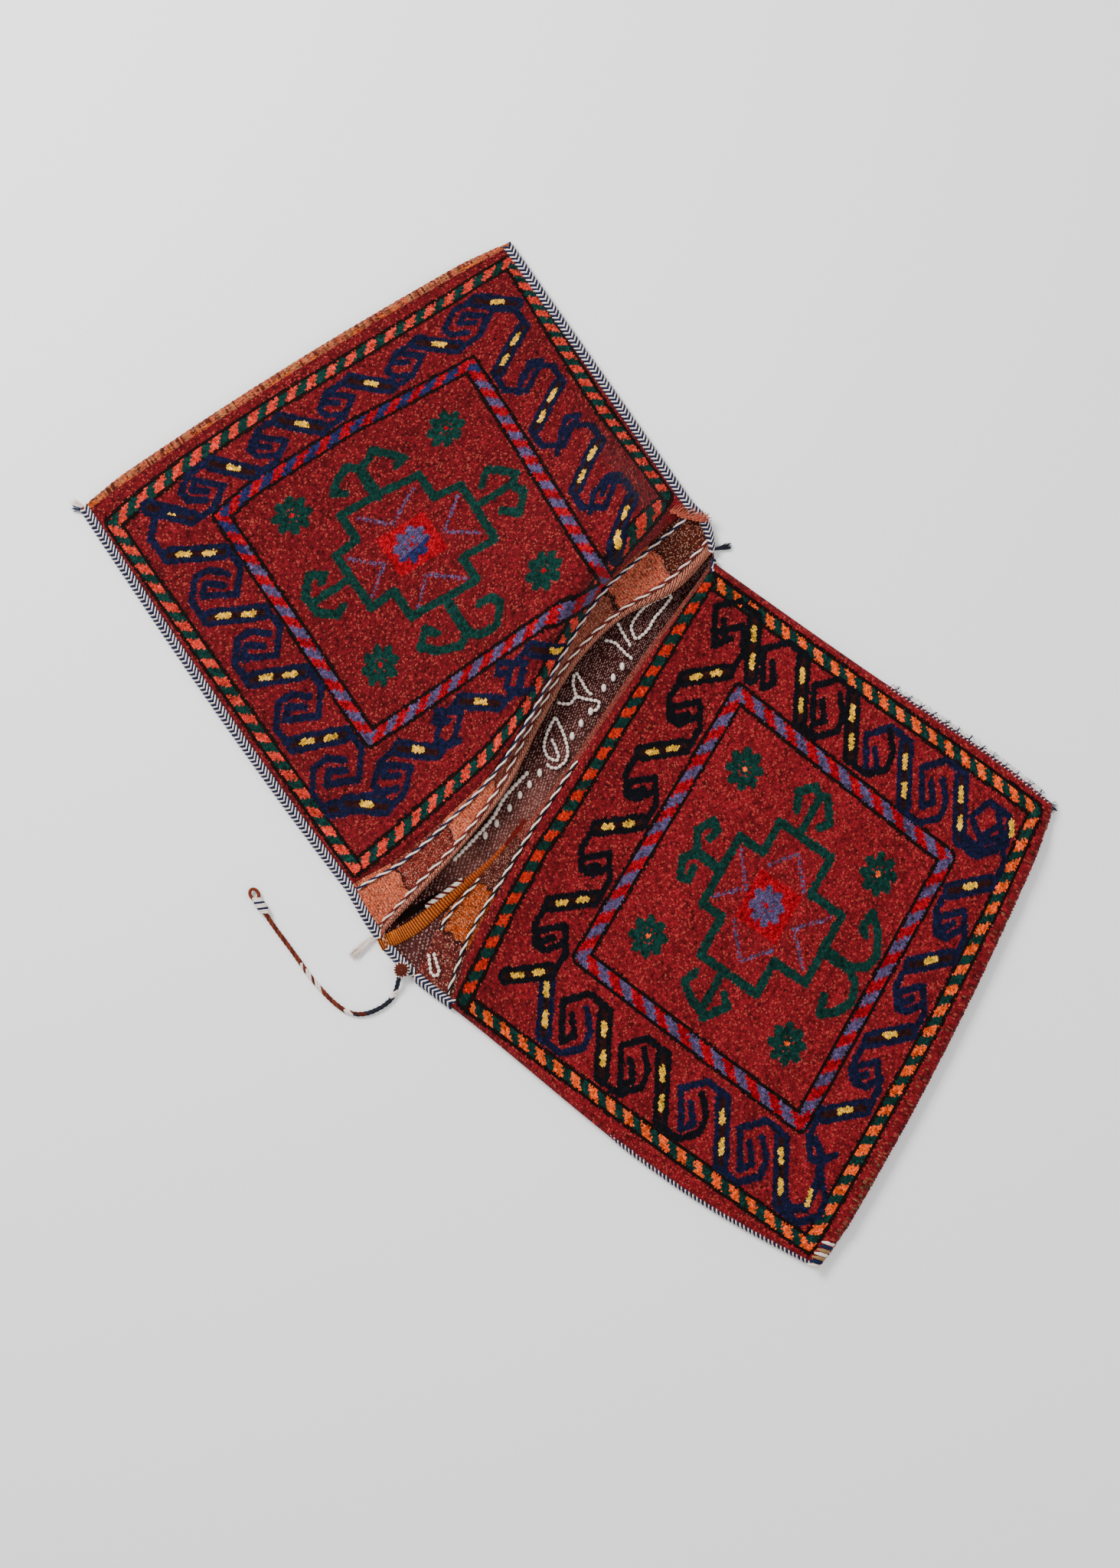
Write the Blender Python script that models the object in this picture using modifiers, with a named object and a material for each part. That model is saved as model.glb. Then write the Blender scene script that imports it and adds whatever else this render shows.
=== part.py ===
"""A double saddle bag of knotted pile and flat weave, lying flat and empty.

One long cloth is folded over at both ends. Each end comes back over the middle as the pile face of a
pouch, its sides are overcast to the back, and the bare middle between the two mouths is the bridge.
The bag lies along X with pouch A at -X and pouch B at +X. It is bent in its plane, so the right side
of pouch A is rucked up into a crest behind its mouth. Metres, +Z up, lowest face at Z = 0.
"""

from math import cos, pi, radians, sin, sqrt

import bmesh
import bpy
import numpy as np
from mathutils import Vector
from mathutils.bvhtree import BVHTree
from mathutils.geometry import interpolate_bezier

# Plan of the bag. A pouch is a four-sided field behind its mouth line.
WIDTH = 0.558
A_LEFT = 0.500
A_RIGHT = 0.344
B_LEFT = 0.484
B_RIGHT = 0.445
A_TURN = radians(12.0)
B_TURN = radians(7.5)
MOUTH_GAP = 0.1145
B_SHIFT = -0.0235
A_MOUTH_TILT = radians(1.1)
B_MOUTH_TILT = radians(12.1)
LEFT_SELVEDGE_BOW = 0.012
RIGHT_SELVEDGE_BOW = 0.010

# Cloth thicknesses, and the clearance between pieces that touch.
GROUND = 0.0035
PILE = 0.0075
CLEAR = 0.0003

# Overcast seams: how far the stitches reach in from the edge, their thickness, and the slit they close.
SEAM_DEPTH = 0.007
SEAM_WALL = 0.0012
SEAM_SLIT = 0.0004
SEAM_BULGE = 0.0010
SEAM_EASE = 0.0010
SEAM_STEP = 0.05
MOUTH_STEP = 0.009
BRIDGE_SEAM_GAP = 0.003
FLAT_MARGIN = 0.008
PILE_MARGIN = 0.018
SIDE_RISE = 0.062

# Loft of the two pouches: height of the inner side of each face above the floor.
A_LOFT = 0.0185
B_LOFT = 0.0125
FOLD_GAP = 0.008
FOLD_RUN = 0.045
KILIM_END = 0.012

# Mouth of pouch A at nine places from the left selvedge to the right one. Reaches are measured towards
# pouch B from the mouth line, and heights to the inner side of the cloth.
A_PILE_REACH = (0.000, 0.020, 0.029, 0.033, 0.021, 0.001, -0.013, -0.008, 0.000)
A_CORD_REACH = (0.052, 0.053, 0.055, 0.047, 0.026, 0.013, 0.018, 0.037, 0.042)
A_HEM_REACH = (0.062, 0.063, 0.062, 0.057, 0.038, 0.023, 0.026, 0.052, 0.057)
A_PILE_HEIGHT = (0.006, 0.014, 0.020, 0.030, 0.040, 0.034, 0.020, 0.018, 0.006)
A_CORD_HEIGHT = (0.008, 0.022, 0.026, 0.024, 0.019, 0.0185, 0.0185, 0.018, 0.008)
A_HEM_HEIGHT = (0.008, 0.020, 0.023, 0.020, 0.0165, 0.0160, 0.0160, 0.0165, 0.008)
A_CREST_HEIGHT = (0.006, 0.020, 0.024, 0.034, 0.048, 0.062, 0.070, 0.064, 0.020)
A_CREST_AT = 0.07
A_CREST_TAIL = 0.55

# Mouth of pouch B at nine places. Reaches are measured towards pouch A.
B_PILE_REACH = (0.000, 0.015, 0.019, 0.021, 0.019, 0.016, 0.012, 0.006, 0.000)
B_LIP = (0.049, 0.041, 0.024, 0.010, 0.006, 0.006, 0.006, 0.005, 0.004)

# Cords. The snug values say how far a cord's middle stands off the cloth, in its own radii, so that the
# cord's flat-sided tube clears the cloth between its points too.
TWINED_DIAMETER = 0.0036
TWINED_SNUG = 1.3
TWINED_ENDS = (0.035, 0.965)
B_PILE_CORD_END = 0.52
B_HEM_CORD_ENDS = (0.10, 0.22)
LOOP_DIAMETER = 0.0042
LOOP_SNUG = 1.08
TIE_DIAMETER = 0.0055
KNOT_LENGTH = 0.032
KNOT_DIAMETER = 0.013
PAD_DIAMETER = 0.017
PAD_HEIGHT = 0.008

# Closure loops, each as the place of its root and of its bight on the bridge, its width, and the height
# that it is laid down from: under lip A, or over all. A place is (share of the way from the left
# selvedge to the right one, share from mouth line A to mouth line B).
UNDER_LIP = 0.0105
OVER_ALL = 0.06
CLOSURE_LOOPS = (
    ((0.757, 0.613), (0.869, 0.660), 0.012, UNDER_LIP),
    ((0.735, 0.560), (0.735, 0.300), 0.009, UNDER_LIP),
    ((0.702, 0.640), (0.690, 0.320), 0.009, UNDER_LIP),
    ((0.640, 0.600), (0.628, 0.330), 0.009, UNDER_LIP),
    ((0.598, 0.640), (0.580, 0.400), 0.010, UNDER_LIP),
    ((0.460, 0.590), (0.528, 0.400), 0.024, UNDER_LIP),
    ((0.318, 0.530), (0.424, 0.530), 0.010, UNDER_LIP),
    ((0.108, 0.490), (0.190, 0.580), 0.012, UNDER_LIP),
    ((0.056, 0.710), (0.030, 0.820), 0.013, OVER_ALL),
)

# The knot pad sits on the bridge's left selvedge, at a reach from mouth line A.
PAD_REACH = 0.1036
PAD_OVERHANG = 0.0022

# The tie cord's route on the floor, chosen by hand, from beside the knot pad to the end knot.
TIE_ROUTE = (
    (0.0549, -0.3113, 0.0098),
    (0.0585, -0.3175, 0.0080),
    (0.0625, -0.3255, 0.0042),
    (0.0646, -0.3340, 0.0030),
    (0.0640, -0.3430, 0.0030),
    (0.0615, -0.3520, 0.0030),
    (0.0570, -0.3620, 0.0030),
    (0.0500, -0.3705, 0.0030),
    (0.0400, -0.3765, 0.0030),
    (0.0286, -0.3789, 0.0030),
    (0.0170, -0.3794, 0.0030),
    (0.0051, -0.3788, 0.0030),
    (-0.0080, -0.3775, 0.0030),
    (-0.0207, -0.3757, 0.0030),
    (-0.0350, -0.3725, 0.0030),
    (-0.0492, -0.3696, 0.0030),
    (-0.0640, -0.3668, 0.0030),
    (-0.0778, -0.3643, 0.0036),
    (-0.0890, -0.3617, 0.0052),
    (-0.0976, -0.3592, 0.0064),
)

# Loose yarn ends at the two ends of lip A: their lengths, and how far their tips bend towards pouch B.
TUFT_DIAMETER = 0.006
TUFT_TIP = 0.3
TUFT_REACH = 0.056
WHITE_TUFT_LENGTH = 0.036
WHITE_TUFT_BEND = 0.006
DARK_TUFT_LENGTH = 0.020
DARK_TUFT_BEND = 0.001

SEAM_BACK = SEAM_WALL + CLEAR + GROUND
SEAM_FACE = SEAM_BACK + SEAM_SLIT
SEAM_OUTSIDE = SEAM_EASE + SEAM_BULGE + SEAM_WALL


def mix(a, b, t):
    return a + (b - a) * t


def smooth(t):
    t = min(max(t, 0.0), 1.0)
    return t * t * (3 - 2 * t)


def across(values, u):
    """A smooth curve through evenly spaced values, read at a share u of the way across."""
    last = len(values) - 1
    at = min(max(u, 0.0), 1.0) * last
    i = min(int(at), last - 1)
    t = at - i
    p0, p1, p2, p3 = (values[min(max(i + k, 0), last)] for k in (-1, 0, 1, 2))
    bend = 2 * p0 - 5 * p1 + 4 * p2 - p3
    twist = 3 * p1 - p0 - 3 * p2 + p3
    return p1 + 0.5 * t * (p2 - p0 + t * (bend + t * twist))


def from_side(u):
    """Distance from the nearer selvedge."""
    return min(u, 1 - u) * WIDTH


def side_rise(u):
    """0 in the seam, and 1 where the face has its full height."""
    return smooth((from_side(u) - FLAT_MARGIN) / (SIDE_RISE - FLAT_MARGIN))


def mouth_a(u):
    along = Vector((-sin(A_MOUTH_TILT), cos(A_MOUTH_TILT)))
    return Vector((-MOUTH_GAP / 2, 0.0)) + along * ((u - 0.5) * WIDTH)


def mouth_b(u):
    along = Vector((-sin(B_MOUTH_TILT), cos(B_MOUTH_TILT)))
    return Vector((MOUTH_GAP / 2, B_SHIFT)) + along * ((u - 0.5) * WIDTH)


def span(u):
    """Length of the bridge between the two mouth lines."""
    return (mouth_b(u) - mouth_a(u)).length


def bridge(u, t):
    """Plan place on the bridge, a share t of the way from mouth line A to mouth line B."""
    place = mouth_a(u).lerp(mouth_b(u), t)
    place.y += sin(pi * t) * (RIGHT_SELVEDGE_BOW * u**4 - LEFT_SELVEDGE_BOW * (1 - u) ** 4)
    return place


def plan_a(u, reach):
    """Plan place at a reach from mouth line A: towards pouch B, or into pouch A where negative."""
    if reach >= 0:
        return bridge(u, reach / span(u))
    return mouth_a(u) + Vector((-cos(A_TURN), sin(A_TURN))) * -reach


def plan_b(u, reach):
    """Plan place at a reach from mouth line B: towards pouch A, or into pouch B where negative."""
    if reach >= 0:
        return bridge(u, 1 - reach / span(u))
    return mouth_b(u) + Vector((cos(B_TURN), sin(B_TURN))) * -reach


def back_height(u):
    """Height of the upper side of the back, which is raised by its binding at the selvedges."""
    flat = smooth((from_side(u) - FLAT_MARGIN) / (PILE_MARGIN - FLAT_MARGIN))
    return mix(SEAM_BACK, GROUND, flat)


def over_seam(u, height):
    return mix(SEAM_FACE, height, side_rise(u))


def far_fold(height, from_fold):
    return mix(GROUND + FOLD_GAP, height, smooth(from_fold / FOLD_RUN))


def lip_a(u, f):
    """Lip A: f is 0 at the pile edge, 1 at the twined cord near the hem, and 2 at the hem."""
    reaches = [across(v, u) for v in (A_PILE_REACH, A_CORD_REACH, A_HEM_REACH)]
    heights = [across(v, u) for v in (A_PILE_HEIGHT, A_CORD_HEIGHT, A_HEM_HEIGHT)]
    i = min(int(f), 1)
    place = plan_a(u, mix(reaches[i], reaches[i + 1], f - i))
    return (*place, over_seam(u, mix(heights[i], heights[i + 1], f - i)))


def face_a(u, v):
    """Face A: v is 0 at the pile edge and 1 at the far fold."""
    length = mix(A_LEFT, A_RIGHT, u)
    place = plan_a(u, across(A_PILE_REACH, u) * (1 - v) ** 2 - v * length)
    crest = across(A_CREST_HEIGHT, u)
    if v < A_CREST_AT:
        height = mix(across(A_PILE_HEIGHT, u), crest, smooth(v / A_CREST_AT))
    else:
        height = mix(crest, A_LOFT, smooth((v - A_CREST_AT) / (A_CREST_TAIL - A_CREST_AT)))
    return (*place, over_seam(u, far_fold(height, (1 - v) * length)))


def face_b(u, v):
    """Face B: v is 0 at the pile edge and 1 at the far fold."""
    length = mix(B_LEFT, B_RIGHT, u)
    place = plan_b(u, across(B_PILE_REACH, u) * (1 - v) ** 2 - v * length)
    return (*place, over_seam(u, far_fold(B_LOFT, (1 - v) * length)))


def lip_b(u, f):
    """Lip B: f is 0 at the pile edge and 1 at the hem."""
    place = plan_b(u, across(B_PILE_REACH, u) + f * across(B_LIP, u))
    return (*place, over_seam(u, B_LOFT))


def fold(face, plan, length, u, angle):
    """The bend of the cloth past the far edge, 0 degrees at the face and 180 at the back."""
    top = face(u, 1.0)[2]
    half = (top - back_height(u)) / 2
    place = plan(u, -mix(*length, u) - half * sin(angle))
    return (*place, top - half + half * cos(angle))


def back(plan, length, u, v):
    return (*plan(u, -v * mix(*length, u)), back_height(u))


def rows():
    """The cloth from hem A to hem B, as (its place at u, pile share, name of its colour) for each row."""
    made = []
    for f in (2.0, 1.5, 1.0, 0.66, 0.33):
        made.append((lambda u, f=f: lip_a(u, f), 0.0, "salmon"))
    made.append((lambda u: face_a(u, 0.0), 0.0, "salmon"))
    for v in (0.015, 0.035, 0.055, 0.07, 0.09, 0.12, 0.17, 0.24, 0.33, 0.44, 0.56, 0.7, 0.84, 0.92):
        made.append((lambda u, v=v: face_a(u, v), 1.0, "pile"))
    for v, pile in ((1 - 2 * KILIM_END / A_LEFT, 1.0), (1 - KILIM_END / A_LEFT, 0.0), (1.0, 0.0)):
        made.append((lambda u, v=v: face_a(u, v), pile, "orange"))
    for angle in (45, 90, 135):
        a = radians(angle)
        made.append((lambda u, a=a: fold(face_a, plan_a, (A_LEFT, A_RIGHT), u, a), 0.0, "orange"))
    for v in (1.0, 0.96, 0.75, 0.5, 0.25, 0.0):
        made.append((lambda u, v=v: back(plan_a, (A_LEFT, A_RIGHT), u, v), 0.0, "brown"))
    for t in (0.12, 0.25, 0.37, 0.5, 0.63, 0.75, 0.88):
        made.append((lambda u, t=t: (*bridge(u, t), back_height(u)), 0.0, "brown"))
    for v in (0.0, 0.25, 0.5, 0.75, 0.96, 1.0):
        made.append((lambda u, v=v: back(plan_b, (B_LEFT, B_RIGHT), u, v), 0.0, "brown"))
    for angle, pile in ((135, 0.0), (90, 0.5), (45, 1.0)):
        a = radians(angle)
        made.append((lambda u, a=a: fold(face_b, plan_b, (B_LEFT, B_RIGHT), u, a), pile, "pile"))
    for v in (1.0, 0.97, 0.93, 0.87, 0.75, 0.6, 0.45, 0.3, 0.15, 0.06, 0.02):
        made.append((lambda u, v=v: face_b(u, v), 1.0, "pile"))
    made.append((lambda u: face_b(u, 0.0), 0.0, "salmon"))
    for f in (0.33, 0.66, 1.0):
        made.append((lambda u, f=f: lip_b(u, f), 0.0, "salmon"))
    return made


def columns():
    """Shares of the width that the cloth's columns stand at, closer together beside the seams."""
    side = [0.0, FLAT_MARGIN / WIDTH, PILE_MARGIN / WIDTH, 0.07]
    middle = [mix(0.125, 0.875, i / 8) for i in range(9)]
    return side + middle + [1 - u for u in reversed(side)]


def principled(name, colour, roughness=0.9):
    material = bpy.data.materials.new(name)
    material.use_nodes = True
    shader = material.node_tree.nodes["Principled BSDF"]
    shader.inputs["Base Color"].default_value = (*colour, 1.0)
    shader.inputs["Roughness"].default_value = roughness
    shader.inputs["Metallic"].default_value = 0.0
    material.diffuse_color = (*colour, 1.0)
    return material


COLOURS = {
    "pile": principled("brick red wool pile", (0.36, 0.04, 0.02)),
    "salmon": principled("salmon flat weave", (0.62, 0.18, 0.10)),
    "orange": principled("orange flat weave", (0.50, 0.13, 0.02)),
    "brown": principled("dark brown flat weave", (0.05, 0.02, 0.015)),
    "navy": principled("navy and white overcasting", (0.12, 0.15, 0.22)),
    "white": principled("undyed cotton cord", (0.75, 0.68, 0.58)),
    "braid": principled("brown and cream braid", (0.20, 0.09, 0.05)),
    "dark": principled("dark blue yarn", (0.02, 0.03, 0.08)),
}


def put_in(collection, thing):
    collection.objects.link(thing)
    return thing


def woven_strip(collection):
    """The whole folded cloth: its inner side as one sheet, thickened outwards by ground or pile."""
    across_at, along_at = columns(), rows()
    grid = bmesh.new()
    bmesh.ops.create_grid(grid, x_segments=len(across_at) - 1, y_segments=len(along_at) - 1, size=0.5)
    piled = {}
    for vert in grid.verts:
        column = round((vert.co.x + 0.5) * (len(across_at) - 1))
        row = round((vert.co.y + 0.5) * (len(along_at) - 1))
        u = across_at[column]
        place, pile, _ = along_at[row]
        vert.co = place(u)
        piled[vert.index] = pile if from_side(u) > FLAT_MARGIN + CLEAR else 0.0
    names = list(COLOURS)
    grid.faces.ensure_lookup_table()
    for number, face in enumerate(grid.faces):
        row = number // (len(across_at) - 1)
        face.material_index = names.index(along_at[min(row + 1, len(along_at) - 1)][2])
    mesh = bpy.data.meshes.new("woven_strip")
    grid.to_mesh(mesh)
    grid.free()
    for material in COLOURS.values():
        mesh.materials.append(material)
    strip = put_in(collection, bpy.data.objects.new("woven_strip", mesh))
    group = strip.vertex_groups.new(name="pile")
    for index, pile in piled.items():
        group.add([index], pile, "REPLACE")
    shell = strip.modifiers.new("cloth", "SOLIDIFY")
    shell.thickness = PILE
    shell.offset = 1.0
    shell.vertex_group = group.name
    shell.thickness_vertex_group = GROUND / PILE
    return strip


def surface_of(thing):
    """The evaluated faces of an object, to lay other pieces on."""
    bpy.context.view_layer.update()
    return BVHTree.FromObject(thing, bpy.context.evaluated_depsgraph_get())


def lie_on(cloth, place, radius, start):
    """Height of a ball's middle, dropped from start onto the cloth, with clearance under it."""
    reach = radius + CLEAR
    height = reach
    for share in (0.0, 0.4, 0.7, 0.9, 1.0):
        for turn in range(8 if share else 1):
            angle = turn * pi / 4
            probe = Vector((place[0] + share * reach * cos(angle), place[1] + share * reach * sin(angle), start))
            hit = cloth.ray_cast(probe, Vector((0, 0, -1)))[0]
            if hit is not None:
                height = max(height, hit.z + reach * sqrt(1 - share * share))
    return height


def clear_of(cloth, place, radius, way):
    """A ball's middle, moved from place along way until it is clear of the cloth."""
    place = Vector(place)
    step = radius / 12
    for _ in range(200):
        nearest = cloth.find_nearest(place)
        outside = (place - nearest[0]).dot(nearest[1]) > 0
        if outside and nearest[3] >= radius + CLEAR:
            return place
        place = place + way * step
    return place


def smooth_route(points, count):
    """Points evenly spread along one smooth curve through the route's own points."""
    route = [Vector(p) for p in points]
    line = []
    for i in range(len(route) - 1):
        before, start, end, after = (route[min(max(i + k, 0), len(route) - 1)] for k in (-1, 0, 1, 2))
        first, second = start + (end - before) / 6, end - (after - start) / 6
        line += interpolate_bezier(start, first, second, end, 12)[:-1]
    line.append(route[-1])
    steps = [(b - a).length for a, b in zip(line, line[1:])]
    along = np.concatenate([[0.0], np.cumsum(steps)])
    wanted = np.linspace(0.0, along[-1], count)
    return [Vector(np.interp(w, along, [p[k] for p in line]) for k in range(3)) for w in wanted]


def cord(collection, name, points, diameter, material, ends=1.0):
    """A round cord along points. ends is the share of the diameter that its last point has."""
    curve = bpy.data.curves.new(name, "CURVE")
    curve.dimensions = "3D"
    curve.bevel_depth = diameter / 2
    curve.bevel_resolution = 2
    curve.use_fill_caps = True
    spline = curve.splines.new("POLY")
    spline.points.add(len(points) - 1)
    for i, (target, point) in enumerate(zip(spline.points, points)):
        target.co = (*point, 1.0)
        target.radius = mix(1.0, ends, i / (len(points) - 1))
    spline.use_smooth = True
    curve.materials.append(COLOURS[material])
    return put_in(collection, bpy.data.objects.new(name, curve))


def binding(collection, name, plan, u, stations, layers):
    """Overcast stitches as one thin shell around the selvedge at u, 0 on the left and 1 on the right."""
    top = (SEAM_FACE + GROUND if layers == 2 else SEAM_BACK) + CLEAR
    bottom = SEAM_WALL
    section = [
        (-SEAM_DEPTH, top),
        (-SEAM_DEPTH / 3, top),
        (SEAM_EASE, top),
        (SEAM_EASE + SEAM_BULGE, (top + bottom) / 2),
        (SEAM_EASE, bottom),
        (-SEAM_DEPTH / 3, bottom),
        (-SEAM_DEPTH, bottom),
    ]
    outwards = (2 * u - 1) / WIDTH
    grid = bmesh.new()
    bmesh.ops.create_grid(grid, x_segments=len(stations) - 1, y_segments=len(section) - 1, size=0.5)
    for vert in grid.verts:
        reach = stations[round((vert.co.x + 0.5) * (len(stations) - 1))]
        out, height = section[round((vert.co.y + 0.5) * (len(section) - 1))]
        vert.co = (*plan(u + out * outwards, reach), height)
    mesh = bpy.data.meshes.new(name)
    grid.to_mesh(mesh)
    grid.free()
    mesh.materials.append(COLOURS["navy"])
    shell = put_in(collection, bpy.data.objects.new(name, mesh))
    wall = shell.modifiers.new("stitches", "SOLIDIFY")
    wall.thickness = SEAM_WALL
    wall.offset = -1.0
    return shell


def stations(*ends):
    """Places along a seam between the given ends, closer together on the bridge than on a pouch."""
    made = [ends[0]]
    for start, end in zip(ends, ends[1:]):
        step = SEAM_STEP if min(start, end) < 0 else MOUTH_STEP
        count = max(1, round(abs(end - start) / step))
        made += [mix(start, end, (i + 1) / count) for i in range(count)]
    return made


def bindings(collection):
    """The seams run with the cloth on their left hand, so that each shell's wall grows outwards."""
    lip_left_a, lip_right_a = A_HEM_REACH[0], A_HEM_REACH[-1]
    lip_left_b, lip_right_b = B_PILE_REACH[0] + B_LIP[0], B_PILE_REACH[-1] + B_LIP[-1]
    bridge_left = (lip_left_a + BRIDGE_SEAM_GAP, span(0.0) - lip_left_b - BRIDGE_SEAM_GAP)
    runs = (
        ("binding_a_left", plan_a, 0.0, stations(-A_LEFT, 0.0, lip_left_a), 2),
        ("binding_bridge_left", plan_a, 0.0, stations(*bridge_left), 1),
        ("binding_b_left", plan_b, 0.0, stations(lip_left_b, 0.0, -B_LEFT), 2),
        ("binding_b_right", plan_b, 1.0, stations(-B_RIGHT, 0.0, lip_right_b), 2),
        ("binding_a_right", plan_a, 1.0, stations(lip_right_a, 0.0, -A_RIGHT), 2),
    )
    for run in runs:
        binding(collection, *run)


def twined_cords(collection, cloth):
    """The two-ply cords that lie along the edges of each lip strip."""
    radius = TWINED_DIAMETER / 2
    up = Vector((0.0, 0.0, 1.0))
    lines = {
        "twined_cord_a_pile": (lambda u: lip_a(u, 0.10), TWINED_ENDS, Vector((0.45, 0.0, 1.0))),
        "twined_cord_a_hem": (lambda u: lip_a(u, 1.0), TWINED_ENDS, Vector((0.3, 0.0, 1.0))),
        "twined_cord_b_pile": (lambda u: lip_b(u, 0.15), (TWINED_ENDS[0], B_PILE_CORD_END), up),
        "twined_cord_b_hem": (lambda u: lip_b(u, 0.92), B_HEM_CORD_ENDS, up),
    }
    for name, (line, (first, last), way) in lines.items():
        stops = [first, *(u for u in columns() if first < u < last), last]
        shares = [mix(a, b, t) for a, b in zip(stops, stops[1:]) for t in (0.0, 0.5)] + [last]
        points = []
        for share in shares:
            place = Vector(line(share)) + way * GROUND
            points.append(clear_of(cloth, place, radius * TWINED_SNUG, way.normalized()))
        cord(collection, name, points, TWINED_DIAMETER, "white")


def closure_loop(collection, cloth, number, root, bight, width, start):
    """A cord doubled back on itself in a drop shape, lying flat on the bridge and the cloth beside it."""
    foot, head = bridge(*root), bridge(*bight)
    length = (head - foot).length
    forward = (head - foot) / length
    side = Vector((-forward.y, forward.x))
    neck = LOOP_DIAMETER / 2 + 3 * CLEAR
    half = (width - LOOP_DIAMETER) / 2
    points = []
    for i in range(15):
        angle = pi * (i / 7 - 1)
        along = length - half * (1 - cos(angle)) if abs(angle) < pi / 2 else None
        if along is None:
            share = (abs(angle) - pi / 2) / (pi / 2)
            along, out = mix(length - half, 0.0, share), mix(half, neck, smooth(share))
        else:
            out = half * abs(sin(angle))
        out = max(out, 0.0) if angle >= 0 else -max(out, 0.0)
        place = foot + forward * along + side * out
        points.append((*place, lie_on(cloth, place, LOOP_DIAMETER / 2 * LOOP_SNUG, start)))
    return cord(collection, f"closure_loop_{number}", points, LOOP_DIAMETER, "white")


def turned(collection, name, length, diameter, material, profile):
    """A closed form turned around Z, from a profile of (share of the radius, share of the length)."""
    mesh = bpy.data.meshes.new(name)
    shape = bmesh.new()
    last = None
    for radius, height in profile:
        vert = shape.verts.new((radius * diameter / 2, 0.0, (height - 0.5) * length))
        if last:
            shape.edges.new((last, vert))
        last = vert
    shape.to_mesh(mesh)
    shape.free()
    mesh.materials.append(COLOURS[material])
    thing = put_in(collection, bpy.data.objects.new(name, mesh))
    screw = thing.modifiers.new("turn", "SCREW")
    screw.steps = 14
    screw.render_steps = 14
    screw.use_merge_vertices = True
    screw.merge_threshold = 0.00001
    screw.use_smooth_shade = True
    return thing


def tie_cord(collection):
    """The tie cord on the floor, with the knot pad that it starts from and the knot that ends it."""
    pad_profile = [(0.0, 1.0), (0.5, 0.96), (0.85, 0.75), (1.0, 0.45), (0.85, 0.15), (0.5, 0.0), (0.0, 0.0)]
    pad = turned(collection, "knot_pad", PAD_HEIGHT, PAD_DIAMETER, "braid", pad_profile)
    selvedge = plan_a(0.0, PAD_REACH)
    seat = SEAM_BACK + CLEAR + SEAM_WALL + CLEAR
    pad.location = (selvedge.x, selvedge.y - PAD_OVERHANG, seat + PAD_HEIGHT / 2)
    print(f"knot pad at ({selvedge.x:.4f}, {selvedge.y - PAD_OVERHANG:.4f})")
    route = smooth_route(TIE_ROUTE, 40)
    cord(collection, "tie_cord", route, TIE_DIAMETER, "braid")
    knot_profile = [(0.0, 1.0), (0.45, 0.97), (0.55, 0.85), (0.9, 0.7), (1.0, 0.5), (0.9, 0.3), (0.6, 0.1)]
    knot_profile += [(0.4, 0.0), (0.0, 0.0)]
    knot = turned(collection, "tie_cord_knot", KNOT_LENGTH, KNOT_DIAMETER, "braid", knot_profile)
    heading = Vector((*(route[-1] - route[-2]).xy, 0.0)).normalized()
    knot.rotation_mode = "QUATERNION"
    knot.rotation_quaternion = heading.to_track_quat("Z", "Y")
    middle = route[-1] + heading * (KNOT_LENGTH / 2 + 2 * CLEAR)
    knot.location = (middle.x, middle.y, KNOT_DIAMETER / 2 + CLEAR)


def yarn_tuft(collection, name, u, length, bend, material):
    """A loose yarn end that leaves the seam at the end of lip A and droops to the floor."""
    root = plan_a(u, TUFT_REACH)
    along = (plan_a(u, TUFT_REACH + CLEAR) - root).normalized()
    outwards = Vector((-along.y, along.x)) * (2 * u - 1)
    weft = (plan_a(u + (2 * u - 1) * CLEAR, TUFT_REACH) - root).normalized()
    start = root + outwards * (SEAM_OUTSIDE * weft.dot(outwards) + CLEAR)
    high, low = (SEAM_WALL + SEAM_FACE + GROUND) / 2, TUFT_TIP * TUFT_DIAMETER / 2 + CLEAR
    points = []
    for i in range(7):
        share = i / 6
        place = start + outwards * (share * length) + Vector((bend * share**2, 0.0))
        points.append((*place, mix(high, low, smooth(share))))
    return cord(collection, name, points, TUFT_DIAMETER, material, ends=TUFT_TIP)


def yarn_tufts(collection):
    yarn_tuft(collection, "white_yarn_tuft", 0.0, WHITE_TUFT_LENGTH, WHITE_TUFT_BEND, "white")
    yarn_tuft(collection, "dark_yarn_tuft", 1.0, DARK_TUFT_LENGTH, DARK_TUFT_BEND, "dark")


def centre_on_floor(collection, skipped):
    """Moves everything so that the origin is under the middle of the bag's outline."""
    bpy.context.view_layer.update()
    depsgraph = bpy.context.evaluated_depsgraph_get()
    places = []
    for thing in collection.objects:
        if thing.name not in skipped:
            shown = thing.evaluated_get(depsgraph)
            places += [shown.matrix_world @ vert.co for vert in shown.to_mesh().vertices]
            shown.to_mesh_clear()
    middle = [(min(p[k] for p in places) + max(p[k] for p in places)) / 2 for k in (0, 1)]
    for thing in collection.objects:
        thing.location.x -= middle[0]
        thing.location.y -= middle[1]
    return middle


def main():
    for thing in list(bpy.data.objects):
        bpy.data.objects.remove(thing, do_unlink=True)
    collection = bpy.data.collections.new("saddle_bag")
    bpy.context.scene.collection.children.link(collection)
    strip = woven_strip(collection)
    cloth = surface_of(strip)
    bindings(collection)
    twined_cords(collection, cloth)
    for number, loop in enumerate(CLOSURE_LOOPS, start=1):
        closure_loop(collection, cloth, number, *loop)
    tie_cord(collection)
    yarn_tufts(collection)
    middle = centre_on_floor(collection, ("tie_cord", "tie_cord_knot"))
    print(f"origin taken from ({middle[0]:.5f}, {middle[1]:.5f})")


main()
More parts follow.
